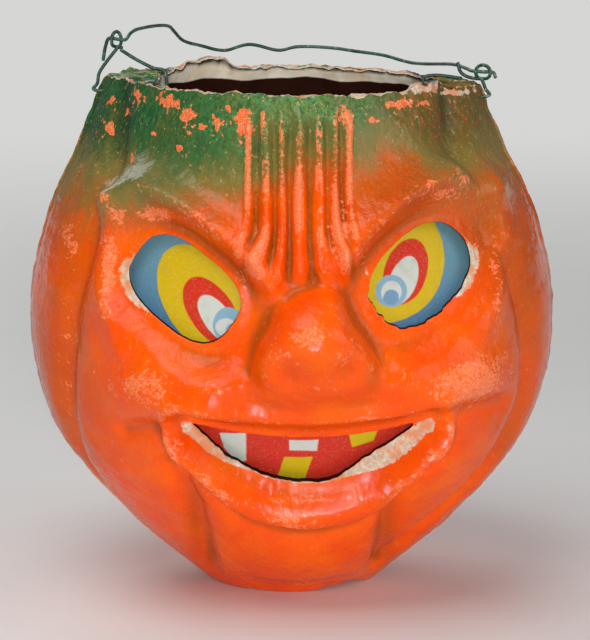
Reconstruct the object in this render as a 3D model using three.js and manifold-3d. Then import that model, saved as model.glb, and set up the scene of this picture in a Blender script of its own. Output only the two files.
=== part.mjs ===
// Paper mache jack-o-lantern: a moulded pulp pumpkin head in two glued halves, with a printed
// paper sheet behind the cut-out eyes and mouth, a wire handle in two wire eyes, and a tin candle cup.
// Millimetres. The face looks along -Y, +X is to the viewer's right, +Z is up.
import * as THREE from 'three';
import { mergeVertices } from 'three/addons/utils/BufferGeometryUtils.js';
import Module from 'manifold-3d';

const wasm = await Module();
wasm.setup();

// Body
const BODY_HEIGHT = 146;
const FOOT_HALF_WIDTH = 25;
const BELLY_HALF_WIDTH = 75.4;
const BELLY_HEIGHT = 76;
const RIM_HALF_WIDTH = 53.2;
const RIM_HALF_DEPTH = 52;
const FRONT_FULLNESS = 0.9;
const BACK_FULLNESS = 0.86;
const RIM_FORM_HEIGHT = 52;
const RIM_LENS_POWER = 1.65;
const RIM_DROP = 2;
const WALL = 2.6;
const SEAM_GAP = 0.2;

// Folded-in pulp that closes the two ends of the rim
const FOLD_LEFT = 13.5;
const FOLD_RIGHT = 8;
const FOLD_HEIGHT = 14;

// Foot
const FOOT_DISH = 2.2;
const FOOT_RING = 0.68;

// Ribs of the pumpkin and the flash along the glued seam
const FACE_TURN = 3.5;
const RIB_ANGLES = [18, 53.5];
const RIB_DEPTH = 3;
const RIB_SPREAD = 5.5;
const SEAM_RIDGE = 0.8;
const SEAM_RIDGE_SPREAD = 1.3;

// Eye openings: centre, half axes, tilt in degrees, squareness
const EYES = [
  { x: -28.9, z: 94, a: 15.7, b: 11, tilt: -36, square: 2.8 },
  { x: 35, z: 97.2, a: 14.9, b: 11.3, tilt: 41, square: 2.4 },
];
const SOCKET_DEPTH = 3;
const SOCKET_FLAT = 2;
const SOCKET_WIDTH = 10;
const MOUTH_SET = 6.5;

// Mouth opening: two parabolas that meet at the corners
const MOUTH_X = 4.6;
const MOUTH_HALF_WIDTH = 32.4;
const MOUTH_CORNER_Z = 57.5;
const UPPER_SAG = 3.4;
const LOWER_SAG = 17.5;

// Brow and forehead furrows
const FURROW_PITCH = 4.6;
const FURROW_HEIGHT = 1.2;
const FURROW_X = 2.1;
const FURROW_HALF_WIDTH = 16;
const FURROW_BOTTOM = 95;
const FURROW_TOP = 144.5;

// Mounds of the face: place, half sizes and rise; a negative rise is a dent, and a higher power
// gives a flatter top with steeper sides
const MOUNDS = [
  { name: 'nose', x: 6, z: 79.5, rx: 14.5, rz: 15, rise: 8.5, power: 4 },
  { name: 'nose tip', x: 6, z: 81, rx: 10.5, rz: 9, rise: 5.9 },
  { name: 'left wing', x: -5, z: 73, rx: 6, rz: 6.5, rise: 3 },
  { name: 'right wing', x: 18, z: 73.5, rx: 6, rz: 6.5, rise: 3 },
  { name: 'left nostril', x: -0.5, z: 74.5, rx: 4, rz: 4, rise: -4.5 },
  { name: 'right nostril', x: 13.8, z: 75, rx: 4.2, rz: 4.2, rise: -4.5 },
  { name: 'left cheek', x: -35, z: 66, rx: 13, rz: 9.5, rise: 6 },
  { name: 'right cheek', x: 46, z: 69, rx: 13, rz: 9.5, rise: 6 },
  { name: 'left muzzle', x: -19, z: 68, rx: 8, rz: 8, rise: 4.5 },
  { name: 'right muzzle', x: 28, z: 69.5, rx: 8, rz: 8, rise: 4.5 },
  { name: 'forehead column', x: 2, z: 117, rx: 17, rz: 27, rise: 2.4 },
  { name: 'chin', x: 2, z: 14, rx: 17, rz: 11, rise: 4 },
];

// Folds of the face: a rounded ridge or groove along a line
const FOLDS = [
  { name: 'left brow', rise: 6, spread: 6,
    line: [[-47, 115], [-38.5, 119], [-26, 112.5], [-16, 106.5], [-9, 99]] },
  { name: 'right brow', rise: 6, spread: 6,
    line: [[52, 118], [42, 121.5], [29, 116], [20, 110.5], [13, 102.5]] },
  { name: 'left orbit', rise: 2.2, spread: 4, line: [[-49, 113], [-51, 100], [-50, 88], [-46, 78]] },
  { name: 'right orbit', rise: 2.2, spread: 4, line: [[56, 114], [58.5, 104], [57.5, 92], [52, 82]] },
  { name: 'nose arch', rise: -2.4, spread: 3,
    line: [[-11.5, 74], [-10, 82], [-4.5, 90.5], [2, 95.5], [8, 97.5], [15.5, 94], [21.5, 85], [24, 75]] },
  { name: 'left corner crease', rise: -2, spread: 3.2, line: [[-27, 57], [-35, 57], [-45, 54]] },
  { name: 'right corner crease', rise: -2.4, spread: 3.2, line: [[37, 58], [44, 60.5], [58, 60]] },
  { name: 'left jaw groove', rise: -3.4, spread: 3.2, line: [[-33, 44], [-27, 30], [-24.5, 16], [-23.5, 4]] },
  { name: 'right jaw groove', rise: -3.4, spread: 3.2, line: [[31, 38], [26.5, 22], [25, 8]] },
];
const LIP_RISE = 5.4;
const LIP_MIDDLE = 8.5;
const LIP_SPREAD = 4.6;
const LIP_NARROWING = 0.38;
const LIP_CREASE = 2.6;
const LIP_CREASE_OFFSET = 15;
const UPPER_LIP_RISE = 2.6;

// Printed paper sheet behind the openings
const SHEET_THICKNESS = 0.4;
const SHEET_CLEARANCE = 0.8;
const SHEET_ANGLES = [-45, 50];
const SHEET_HEIGHTS = [34, 116];

// Wire and the two wire eyes that carry the handle
const WIRE_RADIUS = 0.55;
const WIRE_CLEARANCE = 0.3;
const EAR_Y = -1.6;
const EYE_PITCH = 1.5;
const LEFT_EYE_RISE = 10.4;
const LEFT_EYE_INSET = 3.9;
const RIGHT_EYE_RISE = 3;
const RIGHT_EYE_OUTSET = 0.9;
const EAR_HOLE_DROP = 4;

// Kinks of the handle: share of the way between the eyes, reach behind the axis, height off its plane
const HANDLE_DROOP = 2.7;
const HANDLE_KINKS = [
  [0.055, 15, 3.2],
  [0.126, 35, 4.1],
  [0.14, 38.5, 2.7],
  [0.165, 43.5, 0.1],
  [0.217, 51.5, -1.3],
  [0.284, 57.5, -2.3],
  [0.355, 61.5, 0.1],
  [0.443, 62.5, -0.9],
  [0.492, 62.5, 0.6],
  [0.593, 61.5, 1.3],
  [0.668, 58.5, 1],
  [0.744, 53.5, 0.7],
  [0.816, 46.5, -0.5],
  [0.852, 39.5, -0.4],
  [0.93, 19.5, 0.8],
];
const HANDLE_STUB = 6.5;

// Tin candle cup and the split rivet that holds it to the floor
const CUP_RADIUS = 7;
const CUP_HEIGHT = 12;
const CUP_FLANGE_RADIUS = 11;
const TIN = 0.5;
const RIVET_RADIUS = 1.5;
const RIVET_HEAD_RADIUS = 3.4;
const RIVET_HEAD = 0.8;

const rad = THREE.MathUtils.degToRad;

// 0 below a, 1 above b, with a soft rise between
function soft(a, b, x) {
  const t = THREE.MathUtils.clamp((x - a) / (b - a), 0, 1);
  return t * t * (3 - 2 * t);
}

function bell(u) {
  return Math.exp(-u * u);
}

// Half width of the body at each height, from its foot, belly and rim
const belly = BELLY_HALF_WIDTH - FOOT_HALF_WIDTH;
const crown = BODY_HEIGHT - BELLY_HEIGHT;
const taper = BELLY_HALF_WIDTH - RIM_HALF_WIDTH;
const PROFILE = [
  [0, FOOT_HALF_WIDTH],
  [0.26 * BELLY_HEIGHT, FOOT_HALF_WIDTH + 0.45 * belly],
  [0.55 * BELLY_HEIGHT, FOOT_HALF_WIDTH + 0.82 * belly],
  [BELLY_HEIGHT, BELLY_HALF_WIDTH],
  [BELLY_HEIGHT + 0.46 * crown, BELLY_HALF_WIDTH - 0.26 * taper],
  [BELLY_HEIGHT + 0.77 * crown, BELLY_HALF_WIDTH - 0.71 * taper],
  [BODY_HEIGHT, RIM_HALF_WIDTH],
];

// Slopes of the profile at its stations, for a smooth curve through them
const SLOPES = PROFILE.map((station, i) => {
  const before = PROFILE[Math.max(i - 1, 0)];
  const after = PROFILE[Math.min(i + 1, PROFILE.length - 1)];
  if (i === 0 || i === PROFILE.length - 1) return (after[1] - before[1]) / (after[0] - before[0]);
  const low = (station[1] - before[1]) / (station[0] - before[0]);
  const high = (after[1] - station[1]) / (after[0] - station[0]);
  const share = (station[0] - before[0]) / (after[0] - before[0]);
  return low * (1 - share) + high * share;
});

function halfWidth(height) {
  let i = 0;
  while (i < PROFILE.length - 2 && height > PROFILE[i + 1][0]) i += 1;
  const span = PROFILE[i + 1][0] - PROFILE[i][0];
  const t = THREE.MathUtils.clamp((height - PROFILE[i][0]) / span, 0, 1);
  const s = 1 - t;
  return PROFILE[i][1] * (1 + 2 * t) * s * s
    + SLOPES[i] * span * t * s * s
    + PROFILE[i + 1][1] * t * t * (3 - 2 * t)
    - SLOPES[i + 1] * span * t * t * s;
}

// The smooth body before any relief: side is -1 for the front half and 1 for the back half
function bodyForm(height, side) {
  const width = halfWidth(height);
  const rim = soft(BODY_HEIGHT - RIM_FORM_HEIGHT, BODY_HEIGHT, height);
  const fullness = side < 0 ? FRONT_FULLNESS : BACK_FULLNESS;
  const ratio = THREE.MathUtils.lerp(fullness, RIM_HALF_DEPTH / RIM_HALF_WIDTH, rim);
  return { width, depth: width * ratio, power: 1 + (RIM_LENS_POWER - 1) * rim };
}

function bodyPoint(angle, height, side) {
  const form = bodyForm(height, side);
  const across = Math.max(Math.cos(angle), 0);
  return new THREE.Vector3(
    form.width * Math.sin(angle),
    side * form.depth * Math.pow(across, form.power),
    height,
  );
}

function bodyNormal(angle, height, side) {
  const form = bodyForm(height, side);
  const across = Math.max(Math.cos(angle), 0);
  const nx = Math.sin(angle) / form.width;
  const ny = side * Math.pow(across, 2 - form.power) / (form.power * form.depth);
  const step = 0.5;
  const above = bodyPoint(angle, Math.min(height + step, BODY_HEIGHT), side);
  const below = bodyPoint(angle, Math.max(height - step, 0), side);
  const rise = above.sub(below);
  return new THREE.Vector3(nx, ny, -(nx * rise.x + ny * rise.y) / rise.z).normalize();
}

// How far a point lies outside an eye opening, below zero inside it
function eyeDistance(eye, x, z) {
  const c = Math.cos(rad(eye.tilt));
  const s = Math.sin(rad(eye.tilt));
  const u = Math.abs((x - eye.x) * c + (z - eye.z) * s) / eye.a;
  const v = Math.abs((z - eye.z) * c - (x - eye.x) * s) / eye.b;
  const reach = Math.pow(Math.pow(u, eye.square) + Math.pow(v, eye.square), 1 / eye.square);
  return (reach - 1) * (eye.a + eye.b) / 2;
}

function mouthEdge(x, sag) {
  const s = THREE.MathUtils.clamp((x - MOUTH_X) / MOUTH_HALF_WIDTH, -1, 1);
  return MOUTH_CORNER_Z - sag * (1 - s * s);
}

// How far a point lies outside the mouth, round its corners too, and its share of the lower lip
function mouthPlace(x, z) {
  const s = THREE.MathUtils.clamp((x - MOUTH_X) / MOUTH_HALF_WIDTH, -1, 1);
  const beyond = Math.max(Math.abs(x - MOUTH_X) - MOUTH_HALF_WIDTH, 0);
  const below = (mouthEdge(x, LOWER_SAG) - z) / Math.hypot(1, 2 * LOWER_SAG * s / MOUTH_HALF_WIDTH);
  const above = (z - mouthEdge(x, UPPER_SAG)) / Math.hypot(1, 2 * UPPER_SAG * s / MOUTH_HALF_WIDTH);
  const off = Math.max(below, above);
  return { away: beyond > 0 ? Math.hypot(off, beyond) : off, lower: soft(-3, 3, below - above) };
}

function distanceToLine(x, z, line) {
  let nearest = Infinity;
  for (let i = 0; i + 1 < line.length; i += 1) {
    const [ax, az] = line[i];
    const dx = line[i + 1][0] - ax;
    const dz = line[i + 1][1] - az;
    const t = THREE.MathUtils.clamp(((x - ax) * dx + (z - az) * dz) / (dx * dx + dz * dz), 0, 1);
    nearest = Math.min(nearest, Math.hypot(x - ax - t * dx, z - az - t * dz));
  }
  return nearest;
}

// Pumpkin ribs: soft grooves down the body, and the thin flash at the seam
function ribRelief(angle, height, side) {
  const degrees = THREE.MathUtils.radToDeg(angle);
  const turned = degrees - (side < 0 ? FACE_TURN : 0);
  const angles = side < 0 ? RIB_ANGLES.slice(-1) : RIB_ANGLES;
  let relief = 0;
  for (const rib of angles) {
    relief -= RIB_DEPTH * bell((Math.abs(turned) - rib) / RIB_SPREAD);
  }
  relief *= soft(2, 20, height) * (1 - 0.55 * soft(BODY_HEIGHT - 30, BODY_HEIGHT, height));
  const flash = SEAM_RIDGE * bell((90 - Math.abs(degrees)) / SEAM_RIDGE_SPREAD);
  return relief + flash * soft(0, 12, height);
}

// The moulded face, as rise above the smooth body at a place seen from the front
function faceRelief(x, z) {
  let relief = 0;
  for (const mound of MOUNDS) {
    const reach = Math.hypot((x - mound.x) / mound.rx, (z - mound.z) / mound.rz);
    relief += mound.rise * Math.exp(-Math.pow(reach, mound.power ?? 2));
  }
  for (const fold of FOLDS) {
    relief += fold.rise * bell(distanceToLine(x, z, fold.line) / fold.spread);
  }
  const { away, lower } = mouthPlace(x, z);
  const toCorner = Math.abs(x - MOUTH_X) / MOUTH_HALF_WIDTH;
  const lipEnd = 1 - soft(1.05, 1.35, toCorner);
  const lipPlace = away / (1 - LIP_NARROWING * soft(0.4, 1.1, toCorner));
  relief += LIP_RISE * bell((lipPlace - LIP_MIDDLE) / LIP_SPREAD) * lower * lipEnd;
  relief -= LIP_CREASE * bell((lipPlace - LIP_CREASE_OFFSET) / 3) * lower * lipEnd;
  relief += UPPER_LIP_RISE * bell((away - 6) / 3.5) * (1 - lower) * lipEnd;

  const flare = 1 + 0.35 * (1 - soft(FURROW_BOTTOM, FURROW_BOTTOM + 17, z));
  const across = (x - FURROW_X) / flare;
  const furrowed = soft(FURROW_BOTTOM, FURROW_BOTTOM + 4, z)
    * (1 - soft(FURROW_TOP - 10, FURROW_TOP, z))
    * (1 - soft(FURROW_HALF_WIDTH - 4, FURROW_HALF_WIDTH, Math.abs(across)));
  relief += FURROW_HEIGHT * Math.cos(2 * Math.PI * across / FURROW_PITCH) * furrowed;

  for (const eye of EYES) {
    const outside = soft(SOCKET_FLAT, SOCKET_WIDTH, eyeDistance(eye, x, z));
    relief = THREE.MathUtils.lerp(-SOCKET_DEPTH, relief, outside);
  }
  relief = THREE.MathUtils.lerp(-SOCKET_DEPTH, relief, soft(0, MOUTH_SET, away));
  return relief * soft(1, 10, z);
}

function shellRelief(angle, height, side) {
  const point = bodyPoint(angle, height, side);
  const face = side < 0 ? faceRelief(point.x, height) : 0;
  return Math.max(face + ribRelief(angle, height, side), -SOCKET_DEPTH);
}

// A point of the shell, depth below its moulded outer skin
function shellPoint(angle, height, side, depth) {
  const point = bodyPoint(angle, height, side);
  const normal = bodyNormal(angle, height, side);
  point.addScaledVector(normal, shellRelief(angle, height, side) - depth);
  if (depth > 0) {
    const fold = point.x < 0 ? FOLD_LEFT : FOLD_RIGHT;
    const band = soft(BODY_HEIGHT - FOLD_HEIGHT, BODY_HEIGHT - 2, height);
    point.x -= Math.sign(point.x) * fold * band * Math.pow(Math.abs(Math.sin(angle)), 6);
  }
  if (height >= BODY_HEIGHT) point.z = BODY_HEIGHT;
  const onSeam = Math.abs(angle) > rad(89.99);
  const offSeam = onSeam ? 0 : Math.max(side * point.y, 0);
  point.y = side * (offSeam + SEAM_GAP / 2);
  return tiltRim(point);
}

// The rim is a little lower on the viewer's right
function tiltRim(point) {
  const share = soft(BODY_HEIGHT - 36, BODY_HEIGHT, point.z);
  point.z -= RIM_DROP * share * point.x / (2 * RIM_HALF_WIDTH);
  return point;
}

// Heights of the rows of a half shell, evenly spaced along the meridian, from rim to foot
function rowHeights(count) {
  const fine = 400;
  const lengths = [0];
  for (let i = 1; i <= fine; i += 1) {
    const a = BODY_HEIGHT * (1 - (i - 1) / fine);
    const b = BODY_HEIGHT * (1 - i / fine);
    lengths.push(lengths[i - 1] + Math.hypot(b - a, halfWidth(b) - halfWidth(a)));
  }
  const heights = [];
  for (let k = 0; k <= count; k += 1) {
    const target = lengths[fine] * k / count;
    let i = 0;
    while (i < fine - 1 && lengths[i + 1] < target) i += 1;
    const share = (target - lengths[i]) / (lengths[i + 1] - lengths[i]);
    heights.push(BODY_HEIGHT * (1 - (i + share) / fine));
  }
  heights[0] = BODY_HEIGHT;
  heights[count] = 0;
  return heights;
}

// Angles of the columns: close together over the face, and close again at the seam
function columnAngles(count, evenness) {
  const inner = count - 4;
  const angles = [-90, -88.9];
  for (let j = 0; j <= inner; j += 1) {
    const s = 2 * j / inner - 1;
    angles.push(87.6 * (evenness * s + (1 - evenness) * s * s * s));
  }
  angles.push(88.9, 90);
  return angles.map(rad);
}

// Rows of points over one skin of a half shell, ending at the middle of the foot, and the points
// halfway between them
function skinRows(heights, angles, side, depth, floorShares) {
  const rows = heights.map((height) => angles.map((angle) => shellPoint(angle, height, side, depth)));
  const between = (list) => list.slice(1).map((value, i) => (value + list[i]) / 2);
  const middles = between(heights).map((height) => between(angles)
    .map((angle) => shellPoint(angle, height, side, depth)));
  const last = rows[rows.length - 1];
  for (const share of floorShares) {
    const lift = FOOT_DISH * (1 - soft(0.4, FOOT_RING, share)) + depth;
    rows.push(last.map((point) => new THREE.Vector3(
      point.x * share,
      (point.y - side * SEAM_GAP / 2) * share + side * SEAM_GAP / 2,
      lift,
    )));
  }
  return { rows, middles };
}

// A closed body from an outer and an inner sheet of points; the outer may be finer
function bodyBetween(outerSkin, innerSkin) {
  const outer = outerSkin.rows;
  const inner = innerSkin.rows;
  const positions = [];
  const triangle = (a, b, c) => {
    const tiny = 1e-5;
    if (a.distanceTo(b) < tiny || b.distanceTo(c) < tiny || c.distanceTo(a) < tiny) return;
    positions.push(...a.toArray(), ...b.toArray(), ...c.toArray());
  };
  const miss = (p, q, middle) => p.clone().add(q).multiplyScalar(0.5).distanceTo(middle);
  const quads = ({ rows, middles }, flip) => {
    for (let k = 0; k + 1 < rows.length; k += 1) {
      for (let j = 0; j + 1 < rows[k].length; j += 1) {
        let corners = [rows[k][j], rows[k + 1][j], rows[k + 1][j + 1], rows[k][j + 1]];
        const middle = middles[k]?.[j];
        // Each cell is split along the diagonal that follows the surface better
        if (middle && miss(corners[1], corners[3], middle) < miss(corners[0], corners[2], middle)) {
          corners = [...corners.slice(1), corners[0]];
        }
        if (flip) corners = [corners[0], corners[3], corners[2], corners[1]];
        triangle(corners[0], corners[1], corners[2]);
        triangle(corners[0], corners[2], corners[3]);
      }
    }
  };
  const strip = (outerEdge, innerEdge) => {
    const ratio = Math.round((outerEdge.length - 1) / (innerEdge.length - 1));
    for (let i = 0; i + 1 < innerEdge.length; i += 1) {
      const first = outerEdge.slice(i * ratio, i * ratio + ratio + 1);
      const half = Math.ceil(ratio / 2);
      for (let k = 0; k < ratio; k += 1) triangle(first[k], first[k + 1], innerEdge[k < half ? i : i + 1]);
      triangle(first[half], innerEdge[i + 1], innerEdge[i]);
    }
  };
  quads(outerSkin, false);
  quads(innerSkin, true);
  const column = (rows, j) => rows.map((row) => row[j]);
  strip(outer[0], inner[0]);
  strip([...outer[outer.length - 1]].reverse(), [...inner[inner.length - 1]].reverse());
  strip(column(outer, 0).reverse(), column(inner, 0).reverse());
  strip(column(outer, outer[0].length - 1), column(inner, inner[0].length - 1));
  return geometryFrom(positions);
}

function geometryFrom(positions) {
  const geometry = new THREE.BufferGeometry();
  geometry.setAttribute('position', new THREE.Float32BufferAttribute(positions, 3));
  return mergeVertices(geometry, 1e-4);
}

// Solids for cutting
function toSolid(geometry) {
  const bare = geometry.clone();
  bare.deleteAttribute('normal');
  bare.deleteAttribute('uv');
  const welded = mergeVertices(bare, 1e-4);
  const mesh = new wasm.Mesh({
    numProp: 3,
    vertProperties: new Float32Array(welded.attributes.position.array),
    triVerts: new Uint32Array(welded.index.array),
  });
  mesh.merge();
  return new wasm.Manifold(mesh);
}

function fromSolid(solid) {
  const mesh = solid.getMesh();
  const geometry = new THREE.BufferGeometry();
  geometry.setAttribute('position', new THREE.BufferAttribute(new Float32Array(mesh.vertProperties), 3));
  geometry.setIndex(new THREE.BufferAttribute(new Uint32Array(mesh.triVerts), 1));
  return geometry;
}

function cut(geometry, cutters) {
  let solid = toSolid(geometry);
  for (const cutter of cutters) solid = solid.subtract(toSolid(cutter));
  return fromSolid(solid);
}

// A punch through the front wall, from an outline seen from the front
function frontPunch(outline) {
  const deepest = BELLY_HALF_WIDTH * Math.max(FRONT_FULLNESS, BACK_FULLNESS) + 30;
  const shape = new THREE.Shape(outline.map(([x, z]) => new THREE.Vector2(x, z)));
  const punch = new THREE.ExtrudeGeometry(shape, { depth: deepest - 12, bevelEnabled: false });
  punch.rotateX(Math.PI / 2);
  punch.translate(0, -12, 0);
  return punch;
}

function eyeOutline(eye, count) {
  const outline = [];
  for (let i = 0; i < count; i += 1) {
    const angle = 2 * Math.PI * i / count;
    const c = Math.cos(angle);
    const s = Math.sin(angle);
    const u = eye.a * Math.sign(c) * Math.pow(Math.abs(c), 2 / eye.square);
    const v = eye.b * Math.sign(s) * Math.pow(Math.abs(s), 2 / eye.square);
    const turn = rad(eye.tilt);
    outline.push([
      eye.x + u * Math.cos(turn) - v * Math.sin(turn),
      eye.z + u * Math.sin(turn) + v * Math.cos(turn),
    ]);
  }
  return outline;
}

function mouthOutline(count) {
  const outline = [];
  for (let i = 0; i < count; i += 1) {
    const x = MOUTH_X + MOUTH_HALF_WIDTH * (2 * i / count - 1);
    outline.push([x, mouthEdge(x, LOWER_SAG)]);
  }
  for (let i = 0; i < count; i += 1) {
    const x = MOUTH_X - MOUTH_HALF_WIDTH * (2 * i / count - 1);
    outline.push([x, mouthEdge(x, UPPER_SAG)]);
  }
  return outline;
}

function rod(from, to, radius, sides) {
  const length = from.distanceTo(to);
  const geometry = new THREE.CylinderGeometry(radius, radius, length, sides);
  geometry.rotateX(Math.PI / 2);
  const towards = to.clone().sub(from).normalize();
  geometry.applyQuaternion(new THREE.Quaternion().setFromUnitVectors(new THREE.Vector3(0, 0, 1), towards));
  const middle = from.clone().add(to).multiplyScalar(0.5);
  return geometry.translate(middle.x, middle.y, middle.z);
}

function wire(points, steps) {
  const curve = new THREE.CatmullRomCurve3(points, false, 'centripetal');
  const circle = new THREE.Shape();
  circle.absarc(0, 0, WIRE_RADIUS, 0, 2 * Math.PI);
  return new THREE.ExtrudeGeometry(circle, { steps, curveSegments: 3, extrudePath: curve });
}

// The two wire eyes, just above the ends of the rim
const leftRim = RIM_HALF_WIDTH + SEAM_RIDGE;
const holeHeight = BODY_HEIGHT - EAR_HOLE_DROP;
const EARS = {
  left: {
    sign: -1,
    eye: new THREE.Vector3(-(leftRim - LEFT_EYE_INSET), EAR_Y, BODY_HEIGHT + RIM_DROP / 2 + LEFT_EYE_RISE),
    radius: 1.9,
    height: 2.1,
    turn: 60,
    rimZ: BODY_HEIGHT + RIM_DROP / 2,
    holeZ: holeHeight + RIM_DROP / 3,
    inside: foldEnd(FOLD_LEFT, BODY_HEIGHT),
    stub: 0,
  },
  right: {
    sign: 1,
    eye: new THREE.Vector3(leftRim + RIGHT_EYE_OUTSET, EAR_Y, BODY_HEIGHT - RIM_DROP / 2 + RIGHT_EYE_RISE),
    radius: 2.4,
    height: 2,
    turn: 43,
    rimZ: BODY_HEIGHT - RIM_DROP / 2,
    holeZ: holeHeight - RIM_DROP / 2,
    inside: foldEnd(FOLD_RIGHT, BODY_HEIGHT) - 4,
    stub: 3,
  },
};

// Where the fold of the rim ends inside, at a height
function foldEnd(fold, height) {
  const band = soft(BODY_HEIGHT - FOLD_HEIGHT, BODY_HEIGHT - 2, height);
  return halfWidth(height) - WALL - fold * band;
}

// One tie of wire: an eye, a leg down the outside and in through the wall, and a leg up over the rim
function earPoints(ear) {
  const { sign, eye, rimZ, holeZ } = ear;
  const at = (x, z, dy = 0) => new THREE.Vector3(sign * x, EAR_Y + dy, z);
  const outside = leftRim + WIRE_RADIUS + WIRE_CLEARANCE;
  const wallAtHole = halfWidth(holeHeight) + SEAM_RIDGE;
  const inside = ear.inside - WIRE_RADIUS - WIRE_CLEARANCE - 0.4;
  const over = rimZ + WIRE_RADIUS + WIRE_CLEARANCE + 0.2;
  const eyeX = Math.abs(eye.x);
  const foot = eye.z - ear.height;
  const points = [];
  if (ear.stub > 0) {
    points.push(at(eyeX - 7.2, foot + 4.6, 2.2), at(eyeX - 6.2, foot + 1.7, 2));
    points.push(at(eyeX - 3.8, foot + 0.3, 1.7));
  } else {
    points.push(at(eyeX - 1.7, foot - 0.5, 1.3));
  }
  const turn = rad(ear.turn);
  const along = new THREE.Vector3(Math.cos(turn) * sign, -Math.sin(turn), 0);
  const across = new THREE.Vector3(Math.sin(turn) * sign, Math.cos(turn), 0);
  const turns = 10;
  for (let i = 0; i <= turns; i += 1) {
    const angle = -Math.PI / 2 - 2 * Math.PI * i / turns;
    const shift = EYE_PITCH * (0.5 - i / turns);
    points.push(eye.clone()
      .addScaledVector(along, -Math.cos(angle) * ear.radius)
      .addScaledVector(across, shift)
      .add(new THREE.Vector3(0, 0, Math.sin(angle) * ear.height)));
  }
  points.push(at(outside + 0.2, Math.min(rimZ + 0.8, foot - 1.2), -0.3));
  points.push(at(outside + 0.9, holeZ + 2));
  points.push(at(wallAtHole + 1.3, holeZ + 0.5));
  points.push(at(wallAtHole + 0.3, holeZ), at(wallAtHole - 3, holeZ), at(inside + 3, holeZ));
  points.push(at(inside + 0.6, holeZ + 0.4), at(inside, holeZ + 1.4));
  points.push(at(inside, rimZ - 1), at(inside + 0.8, over + 0.4), at(inside + 3.5, over + 1));
  return points;
}

const leftEar = earPoints(EARS.left);
const tie = EARS.left.eye.clone().setZ(EARS.left.eye.z - EARS.left.height);
leftEar.push(
  new THREE.Vector3((leftEar.at(-1).x + tie.x) / 2 + 0.5, EAR_Y - 0.5, (leftEar.at(-1).z + tie.z) / 2 - 0.7),
  new THREE.Vector3(tie.x + 1.2, EAR_Y - 1.5, tie.z - 0.8),
);
const rightEar = earPoints(EARS.right);
rightEar.push(new THREE.Vector3(EARS.right.eye.x - 6, EAR_Y, EARS.right.rimZ + WIRE_RADIUS + WIRE_CLEARANCE + 0.3));

// The handle lies back over the rim, from one eye to the other
function handlePoints() {
  const left = EARS.left.eye;
  const right = EARS.right.eye;
  const axis = right.clone().sub(left);
  const span = axis.length();
  axis.normalize();
  const back = new THREE.Vector3(0, Math.cos(rad(HANDLE_DROOP)), -Math.sin(rad(HANDLE_DROOP)));
  back.addScaledVector(axis, -back.dot(axis)).normalize();
  const up = axis.clone().cross(back);
  const place = (share, reach, lift) => left.clone()
    .addScaledVector(axis, span * share)
    .addScaledVector(back, reach)
    .addScaledVector(up, lift);
  const mm = 1 / span;
  return [
    place(-3.4 * mm, 2, -HANDLE_STUB),
    place(-3 * mm, 0.8, -2.6),
    place(-2.1 * mm, 0, 0),
    place(0, 0, 0),
    place(2.4 * mm, 0, 0),
    place(3.6 * mm, 3.6, 1.8),
    ...HANDLE_KINKS.map(([share, reach, lift]) => place(share, reach, lift)),
    place(1 - 4.2 * mm, 4.5, 0.3),
    place(1 - 3 * mm, 0, 0),
    place(1, 0, 0),
    place(1 + 3 * mm, 0, 0),
    place(1 + 3.8 * mm, 0.6, -1.4),
  ];
}

// Half shells
const floorShares = { outer: [0.84, FOOT_RING, 0.54, 0.4, 0.2, 0], inner: [0.54, 0] };
function halfShell(side, columns, rows, evenness) {
  const angles = columnAngles(columns, evenness);
  const heights = rowHeights(rows);
  const coarse = (list, pace) => list.filter((value, i) => i % pace === 0);
  const outer = skinRows(heights, angles, side, 0, floorShares.outer);
  const inner = skinRows(coarse(heights, 3), coarse(angles, 2), side, WALL, floorShares.inner);
  for (const rows of [outer.rows, outer.middles, inner.rows, inner.middles]) {
    if (side > 0) rows.forEach((row) => row.reverse());
  }
  return bodyBetween(outer, inner);
}

const rivetHole = rod(
  new THREE.Vector3(0, 0, -5),
  new THREE.Vector3(0, 0, WALL + FOOT_DISH + 10),
  RIVET_RADIUS + WIRE_CLEARANCE,
  16,
);
const earHoles = Object.values(EARS).map((ear) => rod(
  new THREE.Vector3(ear.sign * (BELLY_HALF_WIDTH + 5), EAR_Y, ear.holeZ),
  new THREE.Vector3(ear.sign * (ear.inside - 6), EAR_Y, ear.holeZ),
  WIRE_RADIUS + WIRE_CLEARANCE,
  12,
));
const frontShell = cut(halfShell(-1, 64, 57, 0.42), [
  ...EYES.map((eye) => frontPunch(eyeOutline(eye, 40))),
  frontPunch(mouthOutline(18)),
  ...earHoles,
  rivetHole,
]);
const backShell = cut(halfShell(1, 32, 24, 0.85), [rivetHole]);

// Printed sheet, bent round behind the openings
function sheetRows(depth) {
  const rows = [];
  const across = 18;
  const down = 12;
  for (let k = 0; k <= down; k += 1) {
    const height = THREE.MathUtils.lerp(SHEET_HEIGHTS[1], SHEET_HEIGHTS[0], k / down);
    const row = [];
    for (let j = 0; j <= across; j += 1) {
      const angle = rad(THREE.MathUtils.lerp(SHEET_ANGLES[0], SHEET_ANGLES[1], j / across));
      const point = bodyPoint(angle, height, -1);
      point.addScaledVector(bodyNormal(angle, height, -1), -depth);
      point.y -= SEAM_GAP / 2;
      row.push(tiltRim(point));
    }
    rows.push(row);
  }
  return { rows, middles: [] };
}
const sheetDepth = SOCKET_DEPTH + WALL + SHEET_CLEARANCE;
const faceInsert = bodyBetween(sheetRows(sheetDepth), sheetRows(sheetDepth + SHEET_THICKNESS));

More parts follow.
